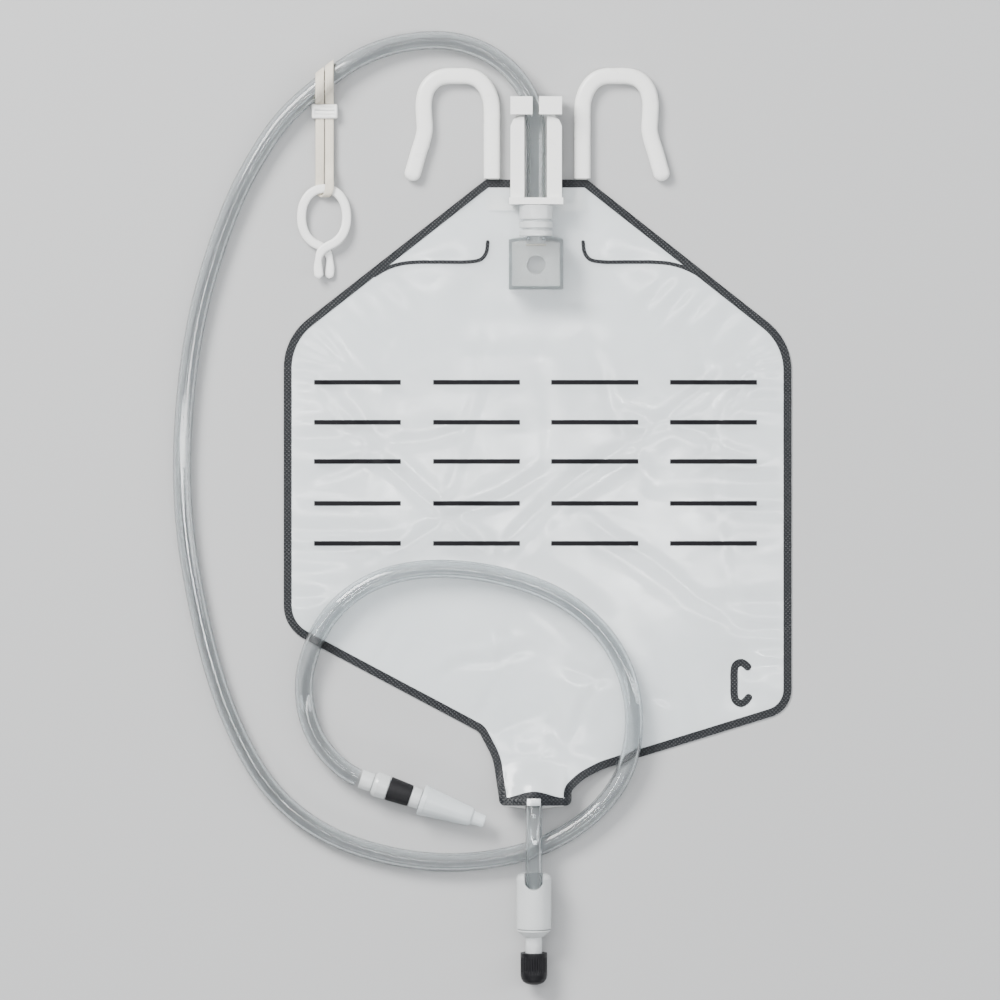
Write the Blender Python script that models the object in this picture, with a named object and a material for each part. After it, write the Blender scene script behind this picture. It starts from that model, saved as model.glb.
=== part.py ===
"""Urine drainage bag, laid flat on its back.

X runs across the bag, Y up the bag towards its hooks, Z up from the surface
it lies on. The origin is on that surface under the middle of the bag and its
hooks. Sizes below are in millimetres and are turned into metres when a mesh
is made.
"""

import math

import bmesh
import bpy
import numpy as np
from mathutils import Matrix, Vector

# ---------------------------------------------------------------- dimensions
MM = 0.001

# film envelope
SEAM_W = 3.6                 # width of the welded rim
FILM_T = 0.35                # thickness of each film
FRONT_GAP = 0.30             # space between the two films at the rim
BULGE = 4.4                  # how far the front film stands off in the middle
BULGE_LENGTH = 16.0          # how fast it rises away from the rim
STEP_UP = 1.3                # front film's rise over the stiff flanges
BAG_CENTRE = (0.0, 33.0)     # every rim point is visible from here
# rim centre line: x, y, corner radius
RIM = [
    (21.7, 153.7, 1.5), (-22.9, 153.7, 1.5), (-112.6, 83.4, 26.0),
    (-112.6, -45.3, 15.0), (-25.2, -91.7, 8.0), (-18.4, -104.6, 26.0),
    (-15.5, -124.4, 0.8), (13.4, -124.4, 0.8), (13.4, -118.75, 6.0),
    (19.2, -113.0, 25.0), (28.9, -108.0, 30.0), (112.4, -82.2, 11.0),
    (112.4, 82.2, 26.0),
]
RIM_STEP = 14.0              # longest straight piece of the rim's mesh
FOOT_STEP = (2.4, -118.0)    # the same across the outlet, and where that begins
RINGS = (0.975, 0.93, 0.80, 0.60, 0.35)

# rise of the bag's narrow outlet end, which the outlet fitment holds up
LIFT_START = -86.0
LIFT_RAMP = 26.0
LIFT_ANGLE = math.radians(17.0)

# hanger
HANGER_MID_X = -0.3
FLANGE = (22.2, 141.5, 155.3, 0.65, 1.65)   # half width, y range, z range
STEM_X = (17.2, 22.2)        # the flange runs up into each hook here
STEM_TOP = 159.5
LUG = (-11.3, 10.0, 155.9, 161.0, 3.4)      # x range, y range, front: behind the holder
HOOK_W = 7.4
HOOK_T = 5.4
HOOK_CHAMFER = 1.3
HOOK_PATH = [                # right-hand hook, from the bar outwards
    (20.4, 156.0), (20.4, 186.0), (20.9, 191.6), (23.1, 196.9), (26.6, 200.6),
    (31.2, 202.1), (40.6, 202.1), (45.6, 200.6), (49.4, 196.6), (51.0, 190.8),
    (50.9, 184.0), (50.6, 177.8), (51.6, 173.0), (53.1, 168.4), (55.2, 161.0),
    (56.5, 156.0),
]
PEG_X = (-8.6, 7.0)
PEG_Y = 158.4
PEG_R = 1.4

# inlet line: the holder, neck and valve box share one axis
INLET_X = -0.8
INLET_Z = 10.6
TUBE_R = 4.1
HOLDER_X = (-12.3, 10.8)
HOLDER_BAR_Y = (144.2, 147.2)
HOLDER_ARM_TOP = 183.6
HOLDER_CLIP_Y = (184.6, 192.6)
HOLDER_Z = (3.7, 5.7, 14.4)            # back, floor of the channel, arm front
CHANNEL_X = (-6.1, 4.1)
CLIP_CHANNEL_X = (-9.4, 4.4)
CLIP_LUGS_X = ((-12.3, -2.4), (0.6, 10.8))
CLIP_LUG_Z = (15.1, 17.2)

BOX_HALF = 12.3
BOX_Y = (105.8, 128.2, 129.6)          # foot, corners, top of the dome
BOX_Z = (4.2, 16.6)
BOX_WALL = 1.4
PLATE_Z = (2.6, 3.9)
INLET_HOLE_R = 4.5

NECK_TOP_Y = 143.9
NECK_PROFILE = [             # radius, distance down from the neck's top
    (4.4, 0.0), (7.1, 0.0), (7.5, 0.4), (7.5, 6.4), (6.2, 6.5), (6.2, 7.5),
    (7.5, 7.6), (7.5, 10.3), (6.2, 10.4), (6.2, 11.4), (7.5, 11.5), (7.5, 14.0),
    (4.2, 14.0), (4.2, 17.2), (2.9, 17.2), (2.9, 6.9), (4.4, 6.9),
]
FLAP = (4.6, 126.3, 0.7, 6.6, 14.6)    # half width, y, thickness, z range

# long tube: points on its centre line
TUBE_ROUTE = [
    (-0.8, 137.5, 10.6), (-0.8, 150.0, 10.6), (-0.8, 164.0, 10.6),
    (-0.8, 175.0, 10.6), (-1.1, 183.2, 10.6), (-3.0, 191.3, 10.3),
    (-7.5, 198.9, 9.6), (-12.9, 205.3, 8.3), (-19.7, 210.8, 6.9),
    (-27.3, 214.7, 5.6), (-35.9, 217.4, 4.8), (-44.9, 218.3, 4.4),
    (-62.9, 216.5, 4.4), (-80.0, 210.4, 5.0), (-95.7, 199.8, 5.9),
    (-114.2, 183.2, 5.0), (-124.5, 168.8, 4.4), (-134.4, 150.8, 4.4),
    (-143.4, 128.3, 4.4), (-151.5, 101.3, 4.4), (-156.4, 76.0, 4.4),
    (-159.4, 47.3, 4.4), (-160.1, 20.0, 4.4), (-158.3, -6.0, 4.4),
    (-154.4, -30.0, 4.4), (-148.6, -56.0, 4.4), (-140.6, -81.5, 4.4),
    (-129.9, -104.4, 4.4), (-119.8, -119.3, 4.4), (-106.3, -131.9, 4.4),
    (-90.3, -141.3, 4.4), (-72.8, -147.3, 4.4), (-55.2, -150.8, 4.4),
    (-36.8, -151.8, 4.4), (-18.8, -150.1, 4.4), (-1.7, -145.8, 4.4),
    (14.5, -137.9, 4.6), (28.9, -126.2, 5.2), (39.3, -110.7, 6.6),
    (43.3, -92.7, 8.2), (42.0, -74.7, 9.3), (36.1, -58.5, 9.8),
    (26.2, -45.0, 9.9), (12.7, -34.2, 9.9), (-3.0, -26.8, 9.9),
    (-20.1, -22.1, 9.9), (-38.1, -19.8, 9.9), (-55.7, -20.3, 9.9),
    (-73.7, -25.2, 9.4), (-88.8, -35.3, 8.4), (-99.3, -49.5, 6.6),
    (-105.0, -67.1, 5.2), (-105.3, -76.3, 4.8), (-104.0, -85.5, 4.8),
    (-100.9, -94.1, 5.2), (-96.2, -101.4, 5.9), (-90.2, -107.7, 6.6),
    (-84.6, -112.3, 7.1), (-81.0, -113.65, 7.2),
]
TUBE_POINTS = 62

# connector on the long tube: its axis lies level
CONNECTOR_START = (-80.0, -114.0, 7.2)
CONNECTOR_ANGLE = math.radians(-19.0)
COLLAR_PROFILE = [(2.7, 0.3), (4.0, 0.3), (4.3, 0.7), (4.3, 5.6), (4.0, 6.0), (2.7, 6.0)]
CONNECTOR_PROFILE = [
    (1.6, 1.0), (2.4, 1.0), (2.4, 6.3), (4.4, 6.3), (5.5, 7.2), (5.8, 8.2),
    (5.5, 13.3), (3.9, 13.3), (3.9, 24.3), (4.8, 24.3), (4.7, 28.7),
    (4.0, 28.7), (2.7, 43.0), (1.6, 43.0),
]
SLEEVE_PROFILE = [(4.2, 13.6), (5.3, 13.6), (5.55, 13.9), (4.95, 23.7), (4.7, 24.0), (4.2, 24.0)]
NOZZLE_CAP_PROFILE = [
    (0.0, 50.5), (3.0, 50.5), (5.6, 29.0), (7.1, 29.0), (7.1, 29.6),
    (4.4, 52.2), (4.2, 52.9), (3.2, 53.8), (2.9, 59.0), (2.6, 59.4), (0.0, 59.4),
]

# strap, slider and sheet clip
LEG_W = 3.9
LEG_T = 1.1
LEG_X = (-93.8, -98.1)       # right leg, left leg
HANG_AT = (-95.7, 199.8, 5.9)          # tube's centre where the strap holds it
TUBE_SLOPE = 0.765           # rise of the tube in Y for each step in X there
LOOP_Y = 6.38                # half sizes of the loop round the tube
LOOP_Z = 5.05
SLIDER = (-101.8, -90.1, 182.9, 189.4, 0.1, 4.9)
SLIDER_SLOT = (-100.4, -91.5, 0.8, 3.95)
RING_CENTRE = (-96.2, 138.5)
RING_SECTION = (4.1, 2.4, 0.7)         # width, thickness, chamfer
RING_PATH = [                # x from the ring's middle, y, z
    (-2.2, 111.2, 4.5), (-2.7, 116.6, 4.5), (-2.3, 120.6, 4.5), (-0.9, 123.6, 4.5),
    (1.7, 125.5, 4.5), (4.8, 127.1, 4.5), (7.7, 129.9, 4.2), (9.6, 134.0, 3.7),
    (10.15, 139.0, 3.2), (9.2, 144.5, 3.0), (6.6, 148.7, 3.0), (3.4, 150.8, 3.0),
    (0.0, 151.4, 3.0), (-3.4, 150.8, 3.0), (-6.6, 148.7, 3.0), (-9.2, 144.5, 3.0),
    (-10.15, 139.0, 2.8), (-9.6, 134.0, 2.4), (-7.7, 129.9, 1.9), (-4.8, 127.1, 1.6),
    (-1.7, 125.5, 1.6), (0.9, 123.6, 1.6), (2.3, 120.6, 1.6), (2.7, 116.6, 1.6),
    (2.2, 111.2, 1.6),
]

# outlet
OUTLET_X = -1.8
PORT_Y = -123.8
PORT_HALF_W = 13.4
PORT_HALF_T = 5.0
PORT_EDGE_T = 0.5
PORT_HALF_L = 2.8
PORT_ROOM = 0.8              # half the space between the films beside the fitment
SWELL_Y = (-118.5, -104.0)   # where the films close again above the fitment
OUT_TUBE_R = 3.7
OUT_TUBE_BORE = 2.6
OUT_TUBE_ROUTE = [           # y, z of its centre line
    (-124.1, 8.82), (-130.0, 10.55), (-138.0, 12.15), (-146.0, 12.68),
    (-152.0, 12.22), (-157.0, 11.75), (-163.6, 11.17),
]
VALVE_START = (OUTLET_X, -157.0, 11.75)
VALVE_ANGLE = math.radians(5.0)        # how much the valve points down
VALVE_BODY_PROFILE = [
    (4.0, -0.5), (5.6, -0.5), (7.0, 0.1), (7.9, 1.8), (7.9, 24.6), (5.5, 24.6),
    (5.5, 9.6), (2.6, 9.6), (2.6, 7.4), (4.0, 7.4),
]
NOTCH = (4.3, 2.2)           # half width, start of its round end
GLAND_PROFILE = [
    (4.15, 22.0), (5.2, 22.0), (5.2, 24.9), (7.7, 24.9), (7.7, 25.4), (4.8, 28.1),
    (4.15, 28.1),
]
SPIGOT_PROFILE = [
    (0.0, 12.0), (5.0, 12.0), (5.0, 13.05), (3.9, 13.05), (3.9, 14.65), (5.0, 14.65),
    (5.0, 15.7), (3.8, 15.7), (3.8, 41.0), (2.4, 41.0), (2.4, 17.5), (0.0, 17.5),
]
CROSS_HOLE = (1.1, 19.2)     # radius, distance along the spigot
ORING = (4.7, 0.5, 13.85)    # ring radius, section radius, place along the spigot
END_CAP_PROFILE = [
    (0.0, 42.0), (4.1, 42.0), (4.1, 35.4), (5.7, 35.4), (6.0, 35.7), (6.0, 45.6),
    (5.3, 48.0), (3.2, 49.5), (0.0, 50.0),
]


# ------------------------------------------------------------------- helpers
def material(name, colour, roughness, metallic=0.0, alpha=1.0):
    mat = bpy.data.materials.new(name)
    mat.use_nodes = True
    shader = mat.node_tree.nodes["Principled BSDF"]
    shader.inputs["Base Color"].default_value = (*colour, 1.0)
    shader.inputs["Roughness"].default_value = roughness
    shader.inputs["Metallic"].default_value = metallic
    shader.inputs["Alpha"].default_value = alpha
    return mat


def link(name, bm, mat, smooth=True):
    """Makes the object of a bmesh whose points are in metres."""
    bmesh.ops.remove_doubles(bm, verts=bm.verts, dist=1e-6)
    bmesh.ops.recalc_face_normals(bm, faces=bm.faces)
    mesh = bpy.data.meshes.new(name)
    bm.to_mesh(mesh)
    bm.free()
    if smooth:
        mesh.shade_smooth()
        mesh.set_sharp_from_angle(angle=math.radians(35))
    obj = bpy.data.objects.new(name, mesh)
    bpy.context.scene.collection.objects.link(obj)
    if mat is not None:
        obj.data.materials.append(mat)
    return obj


def helper(obj):
    """Keeps a cutter or a shape that is joined into another out of the render."""
    obj.hide_render = True
    obj.display_type = "WIRE"
    return obj


def combine(obj, other, operation):
    mod = obj.modifiers.new(operation.lower() + "_" + other.name, "BOOLEAN")
    mod.operation = operation
    mod.solver = "EXACT"
    mod.object = helper(other)


def prism(name, outline, low, high, mat=None, chamfer=0.0):
    """A flat plate between two heights, its outline in X and Y."""
    bm = bmesh.new()
    inner = offset(outline, -chamfer) if chamfer else outline
    levels = [(inner, low), (outline, low + chamfer), (outline, high - chamfer), (inner, high)]
    if not chamfer:
        levels = [(outline, low), (outline, high)]
    rows = [[bm.verts.new((x * MM, y * MM, z * MM)) for x, y in ring] for ring, z in levels]
    for first, second in zip(rows, rows[1:]):
        for i in range(len(first)):
            j = (i + 1) % len(first)
            bm.faces.new((first[i], first[j], second[j], second[i]))
    bm.faces.new(rows[0][::-1])
    bm.faces.new(rows[-1])
    return link(name, bm, mat, smooth=False)


def box(name, x, y, z, mat=None, chamfer=0.0):
    return prism(name, [(x[0], y[0]), (x[1], y[0]), (x[1], y[1]), (x[0], y[1])], z[0], z[1], mat, chamfer)


def round_bar(name, radius, start, end, sides=16, mat=None):
    """A cylinder between two points."""
    bm = bmesh.new()
    start, end = Vector(start) * MM, Vector(end) * MM
    bmesh.ops.create_cone(bm, cap_ends=True, segments=sides, radius1=radius * MM, radius2=radius * MM, depth=(end - start).length)
    turn = (end - start).to_track_quat("Z", "Y").to_matrix().to_4x4()
    bmesh.ops.transform(bm, matrix=Matrix.Translation((start + end) / 2) @ turn, verts=bm.verts)
    return link(name, bm, mat)


def turned(name, profile, mat, sides=20):
    """A turned piece: profile (radius, station) closed on itself, about local Z."""
    bm = bmesh.new()
    rings = []
    for r, s in profile:
        if r < 1e-9:
            rings.append([bm.verts.new((0.0, 0.0, s * MM))])
            continue
        rings.append([
            bm.verts.new((r * MM * math.cos(a), r * MM * math.sin(a), s * MM))
            for a in (2 * math.pi * k / sides for k in range(sides))
        ])
    for i, first in enumerate(rings):
        second = rings[(i + 1) % len(rings)]
        if len(first) == 1 and len(second) == 1:
            continue
        for k in range(sides):
            m = (k + 1) % sides
            if len(first) == 1:
                bm.faces.new((first[0], second[m], second[k]))
            elif len(second) == 1:
                bm.faces.new((first[k], first[m], second[0]))
            else:
                bm.faces.new((first[k], first[m], second[m], second[k]))
    return link(name, bm, mat)


def place(obj, at, direction, up=(0, 0, 1)):
    """Puts local Z along a direction, with local Y as near to up as it goes."""
    z = Vector(direction).normalized()
    y = (Vector(up) - z * Vector(up).dot(z)).normalized()
    x = y.cross(z)
    turn = Matrix((x, y, z)).transposed().to_4x4()
    obj.matrix_world = Matrix.Translation(Vector(at) * MM) @ turn
    return obj


def sweep(name, points, sides, ups, section, mat):
    """A bar along points: each section corner (a, b) sits a along side, b along up."""
    bm = bmesh.new()
    rows = [
        [bm.verts.new(tuple((p + s * a + u * b) * MM)) for a, b in section]
        for p, s, u in zip(points, sides, ups)
    ]
    n = len(section)
    for first, second in zip(rows, rows[1:]):
        for i in range(n):
            j = (i + 1) % n
            bm.faces.new((first[i], first[j], second[j], second[i]))
    bm.faces.new(rows[0][::-1])
    bm.faces.new(rows[-1])
    return link(name, bm, mat)


def chamfered(width, thickness, cut):
    a, b = width / 2, thickness / 2
    return [(a, -b + cut), (a, b - cut), (a - cut, b), (-a + cut, b), (-a, b - cut), (-a, -b + cut), (-a + cut, -b), (a - cut, -b)]


def tangents(points):
    points = np.asarray(points, float)
    t = np.gradient(points, axis=0)
    return t / np.linalg.norm(t, axis=1)[:, None]


def smooth_curve(route, count):
    """Evenly spaced points on a centripetal spline through the route's points."""
    route = np.asarray(route, float)
    ends = [2 * route[0] - route[1], *route, 2 * route[-1] - route[-2]]
    fine = []
    for p0, p1, p2, p3 in zip(ends, ends[1:], ends[2:], ends[3:]):
        k = [0.0]
        for a, b in ((p0, p1), (p1, p2), (p2, p3)):
            k.append(k[-1] + math.sqrt(np.linalg.norm(b - a)))
        for t in np.linspace(k[1], k[2], 12, endpoint=False):
            a1 = (k[1] - t) / (k[1] - k[0]) * p0 + (t - k[0]) / (k[1] - k[0]) * p1
            a2 = (k[2] - t) / (k[2] - k[1]) * p1 + (t - k[1]) / (k[2] - k[1]) * p2
            a3 = (k[3] - t) / (k[3] - k[2]) * p2 + (t - k[2]) / (k[3] - k[2]) * p3
            b1 = (k[2] - t) / (k[2] - k[0]) * a1 + (t - k[0]) / (k[2] - k[0]) * a2
            b2 = (k[3] - t) / (k[3] - k[1]) * a2 + (t - k[1]) / (k[3] - k[1]) * a3
            fine.append((k[2] - t) / (k[2] - k[1]) * b1 + (t - k[1]) / (k[2] - k[1]) * b2)
    fine = np.array([*fine, route[-1]])
    along = np.concatenate([[0], np.cumsum(np.linalg.norm(np.diff(fine, axis=0), axis=1))])
    return np.stack([np.interp(np.linspace(0, along[-1], count), along, fine[:, i]) for i in range(fine.shape[1])], axis=1)


def ease(t):
    t = min(max(t, 0.0), 1.0)
    return t * t * (3 - 2 * t)


# ------------------------------------------------------------- rim and films
def rounded_outline(corners, step, arc=math.radians(15)):
    """Anticlockwise points round a polygon whose corners are rounded by arcs."""
    out = []
    n = len(corners)
    for i, (x, y, r) in enumerate(corners):
        p = np.array((x, y))
        before = np.array(corners[i - 1][:2]) - p
        after = np.array(corners[(i + 1) % n][:2]) - p
        before, after = before / np.linalg.norm(before), after / np.linalg.norm(after)
        half = math.acos(float(before @ after)) / 2
        reach = r / math.tan(half)
        middle = p + (before + after) / np.linalg.norm(before + after) * r / math.sin(half)
        first, last = p + before * reach, p + after * reach
        sweep_angle = math.pi - 2 * half
        count = max(1, round(sweep_angle / arc))
        a = first - middle
        turn = math.copysign(sweep_angle, a[0] * (last - middle)[1] - a[1] * (last - middle)[0])
        for k in range(count + 1):
            c, s = math.cos(turn * k / count), math.sin(turn * k / count)
            out.append(middle + (a[0] * c - a[1] * s, a[0] * s + a[1] * c))
    full = []
    for i, p in enumerate(out):
        q = out[(i + 1) % len(out)]
        limit = FOOT_STEP[0] if max(p[1], q[1]) < FOOT_STEP[1] else step
        pieces = max(1, math.ceil(np.linalg.norm(q - p) / limit))
        full.extend(p + (q - p) * k / pieces for k in range(pieces))
    return np.array(full)


def offset(outline, distance):
    """Moves an anticlockwise outline outwards by a distance."""
    outline = np.asarray(outline, float)
    before = outline - np.roll(outline, 1, axis=0)
    after = np.roll(outline, -1, axis=0) - outline
    before /= np.linalg.norm(before, axis=1)[:, None]
    after /= np.linalg.norm(after, axis=1)[:, None]
    n1 = np.stack([before[:, 1], -before[:, 0]], axis=1)
    n2 = np.stack([after[:, 1], -after[:, 0]], axis=1)
    mitre = (n1 + n2) / (1 + (n1 * n2).sum(axis=1))[:, None]
    return outline + mitre * distance


def distance_to(outline, p):
    a, b = outline, np.roll(outline, -1, axis=0)
    t = np.clip(((p - a) * (b - a)).sum(axis=1) / ((b - a) ** 2).sum(axis=1), 0, 1)
    return float(np.linalg.norm(a + (b - a) * t[:, None] - p, axis=1).min())


def lift(x, y):
    """How far both films are raised towards the outlet."""
    down = LIFT_START - y
    if down <= 0:
        return 0.0
    slope = math.tan(LIFT_ANGLE)
    height = slope * down * down / (2 * LIFT_RAMP) if down < LIFT_RAMP else slope * (down - LIFT_RAMP / 2)
    return height * (1 - ease((abs(x - OUTLET_X) - 20) / 30))


def front_rise(x, y, inside):
    """The front film's height over its height at the rim."""
    beside = math.hypot(max(abs(x - INLET_X) - 24, 0), max(100 - y, 0))
    stiff = max(1 - ease(beside / 24), 1 - ease((y + 108) / 12))
    free = BULGE * (1 - math.exp(-max(inside, 0) / BULGE_LENGTH))
    return free * (1 - stiff) + STEP_UP * stiff


def boat_half(x):
    """Half thickness of the boat-shaped outlet fitment, x from its middle."""
    return PORT_EDGE_T + (PORT_HALF_T - PORT_EDGE_T) * ease(1 - abs(x) / PORT_HALF_W)


def swell(x, y):
    """How far each film stands off to pass round the outlet fitment."""
    half = boat_half(x - OUTLET_X) / math.cos(LIFT_ANGLE) + 0.3
    start, end = SWELL_Y
    return max(half - PORT_ROOM, 0.0) * (1 - ease((y - start) / (end - start)))


RIM_LINE = rounded_outline(RIM, RIM_STEP)
OUTER = offset(RIM_LINE, SEAM_W / 2)
INNER = offset(RIM_LINE, -SEAM_W / 2)


def film(name, front, mat):
    centre = np.array(BAG_CENTRE)
    layers = [OUTER, INNER] + [centre + (INNER - centre) * f for f in RINGS]

    def height(p, inside):
        base = lift(*p)
        if front:
            return base + FILM_T + FRONT_GAP + front_rise(p[0], p[1], inside) + swell(*p)
        return base - swell(*p)

    bm = bmesh.new()
    sheets = []
    for extra in (0.0, FILM_T):
        rows = []
        for k, ring in enumerate(layers):
            rows.append([
                bm.verts.new((p[0] * MM, p[1] * MM, (height(p, distance_to(INNER, p) if k > 1 else 0.0) + extra) * MM))
                for p in ring
            ])
        tip = bm.verts.new((centre[0] * MM, centre[1] * MM, (height(centre, distance_to(INNER, centre)) + extra) * MM))
        sheets.append((rows, tip))
    n = len(OUTER)
    for (rows, tip), top in zip(sheets, (False, True)):
        for first, second in zip(rows, rows[1:]):
            for i in range(n):
                j = (i + 1) % n
                quad = (first[i], first[j], second[j], second[i])
                bm.faces.new(quad if top else quad[::-1])
        for i in range(n):
            tri = (rows[-1][i], rows[-1][(i + 1) % n], tip)
            bm.faces.new(tri if top else tri[::-1])
    low, high = sheets[0][0][0], sheets[1][0][0]
    for i in range(n):
        j = (i + 1) % n
        bm.faces.new((low[i], low[j], high[j], high[i]))
    return link(name, bm, mat)


# --------------------------------------------------------------------- model
def main():
    for obj in list(bpy.data.objects):
        bpy.data.objects.remove(obj, do_unlink=True)

    clear_film = material("clear_film", (0.80, 0.86, 0.88), 0.25, alpha=0.55)
    white_film = material("white_film", (0.90, 0.91, 0.91), 0.45)
    white_plastic = material("white_plastic", (0.88, 0.88, 0.86), 0.35)
    clear_plastic = material("clear_plastic", (0.82, 0.87, 0.88), 0.15, alpha=0.5)
    clear_tube = material("clear_tube", (0.83, 0.87, 0.88), 0.2, alpha=0.5)
    dark_rubber = material("dark_rubber", (0.03, 0.03, 0.035), 0.6)
    pale_rubber = material("pale_rubber", (0.78, 0.75, 0.68), 0.55)
    black_plastic = material("black_plastic", (0.025, 0.025, 0.03), 0.4)

    # the two films, with the inlet's hole through the front one
    film("rear_film", False, white_film)
    front = film("front_film", True, clear_film)
    combine(front, round_bar("film_hole", 4.8, (INLET_X, 117.0, -1.0), (INLET_X, 117.0, 6.0)), "DIFFERENCE")

    # hanger: flange between the films, two hooks and a lug, in one moulding
    mid = HANGER_MID_X
    half, low_y, high_y, z0, z1 = FLANGE
    near, far = STEM_X
    lug_x0, lug_x1, lug_y0, lug_y1, lug_front = LUG
    flange = [
        (mid - half, low_y), (mid + half, low_y), (mid + far, STEM_TOP), (mid + near, STEM_TOP), (mid + near, high_y),
        (lug_x1, high_y), (lug_x1, lug_y1), (lug_x0, lug_y1), (lug_x0, high_y),
        (mid - near, high_y), (mid - near, STEM_TOP), (mid - far, STEM_TOP),
    ]
    hanger = prism("hanger", flange, z0, z1, white_plastic)
    combine(hanger, box("lug_form_back", (lug_x0 + 0.1, lug_x1 - 0.1), (lug_y0, lug_y1 - 0.1), (0.0, lug_front)), "UNION")
    for side, label in ((1, "right"), (-1, "left")):
        path = smooth_curve([(x, y, HOOK_T / 2) for x, y in HOOK_PATH[:5]], 9)[:-1]
        crown = np.array([(x, y, HOOK_T / 2) for x, y in HOOK_PATH[5:7]])
        leg = smooth_curve([(x, y, HOOK_T / 2) for x, y in HOOK_PATH[6:]], 14)[1:]
        path = np.concatenate([path, smooth_curve([(x, y, HOOK_T / 2) for x, y in HOOK_PATH[4:6]], 3)[:-1], crown, leg])
        t = tangents(path)
        for i in range(len(path)):
            if path[i][1] > HOOK_PATH[5][1] - 0.01:
                t[i] = (1, 0, 0)
        across = np.stack([t[:, 1], -t[:, 0], 0 * t[:, 0]], axis=1)
        widths = np.ones(len(path))
        mirror = np.array((side, 1, 1))
        end = path[-1] + t[-1] * HOOK_W * 0.30
        path = np.concatenate([path, [end]])
        across = np.concatenate([across, [across[-1] * 0.55]])
        path = path * mirror + (mid, 0, 0)
        across = across * mirror
        ups = np.tile((0.0, 0.0, 1.0), (len(path), 1))
        hook = sweep("hook_form_" + label, path, across, ups, chamfered(HOOK_W, HOOK_T, HOOK_CHAMFER), None)
        combine(hanger, hook, "UNION")
    for i, x in enumerate(PEG_X):
        combine(hanger, round_bar(f"peg_form_{i}", PEG_R, (x, PEG_Y, 2.0), (x, PEG_Y, 6.4), 12), "UNION")

    # holder: channel for the tube with a C-shaped clip above it
    back, floor, arm_front = HOLDER_Z
    left, right = HOLDER_X
    holder = prism("tube_holder", [
        (left, HOLDER_BAR_Y[0] + 0.5), (right, HOLDER_BAR_Y[0] + 0.5), (right, HOLDER_ARM_TOP - 4.0), (right - 1.2, HOLDER_ARM_TOP - 1.2),
        (right - 3.0, HOLDER_ARM_TOP + 0.4), (right - 3.0, HOLDER_CLIP_Y[0] + 0.4), (right - 0.6, HOLDER_CLIP_Y[0] + 0.4),
        (right - 0.6, HOLDER_CLIP_Y[1] - 0.4), (left + 0.6, HOLDER_CLIP_Y[1] - 0.4), (left + 0.6, HOLDER_CLIP_Y[0] + 0.4),
        (left + 3.0, HOLDER_CLIP_Y[0] + 0.4), (left + 3.0, HOLDER_ARM_TOP + 0.4), (left + 1.2, HOLDER_ARM_TOP - 1.2), (left, HOLDER_ARM_TOP - 4.0),
    ], back, floor, white_plastic)
    arm = [
        (CHANNEL_X[1], HOLDER_BAR_Y[0] + 0.7), (right - 0.05, HOLDER_BAR_Y[0] + 0.7), (right - 0.05, HOLDER_ARM_TOP - 4.2),
        (right - 1.3, HOLDER_ARM_TOP - 1.4), (right - 4.2, HOLDER_ARM_TOP - 0.1), (CHANNEL_X[1], HOLDER_ARM_TOP - 0.1),
    ]
    total = left + right
    combine(holder, prism("arm_form_right", arm, back + 0.5, arm_front), "UNION")
    arm_left = [(total - x + (CHANNEL_X[0] - (total - CHANNEL_X[1])) * (x == CHANNEL_X[1]), y) for x, y in arm][::-1]
    combine(holder, prism("arm_form_left", arm_left, back + 0.5, arm_front), "UNION")
    combine(holder, box("foot_form", (left - 0.6, right + 0.6), HOLDER_BAR_Y, (back + 0.1, INLET_Z + TUBE_R + 1.7)), "UNION")
    cy0, cy1 = HOLDER_CLIP_Y
    for label, wall, lug in (("left", (left, CLIP_CHANNEL_X[0]), CLIP_LUGS_X[0]), ("right", (CLIP_CHANNEL_X[1], right), CLIP_LUGS_X[1])):
        combine(holder, box("clip_wall_" + label, wall, (cy0, cy1), (back + 0.3, CLIP_LUG_Z[1] - 0.4)), "UNION")
        combine(holder, box("clip_lug_" + label, (lug[0] - 0.02, lug[1] + 0.02), (cy0 - 0.05, cy1 + 0.05), CLIP_LUG_Z), "UNION")
    combine(holder, round_bar("holder_bore", TUBE_R + 0.4, (INLET_X, 140.0, INLET_Z), (INLET_X, 147.9, INLET_Z), 20), "DIFFERENCE")
    for i, x in enumerate(PEG_X):
        combine(holder, round_bar(f"peg_hole_{i}", PEG_R + 0.3, (x, PEG_Y, 2.0), (x, PEG_Y, 6.8), 12), "DIFFERENCE")

    # neck, box, back plate and flap of the anti-reflux valve
    down = (0, -1, 0)
    place(turned("inlet_neck", NECK_PROFILE, clear_plastic), (INLET_X, NECK_TOP_Y, INLET_Z), down)
    foot, corner, top = BOX_Y

    def box_outline(inset):
        a = BOX_HALF - inset
        points = [(INLET_X - a, foot + inset), (INLET_X + a, foot + inset)]
        points += [
            (INLET_X + a * math.cos(k * math.pi / 8), corner - inset + (top - corner) * math.sin(k * math.pi / 8))
            for k in range(9)
        ]
        return points

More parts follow.
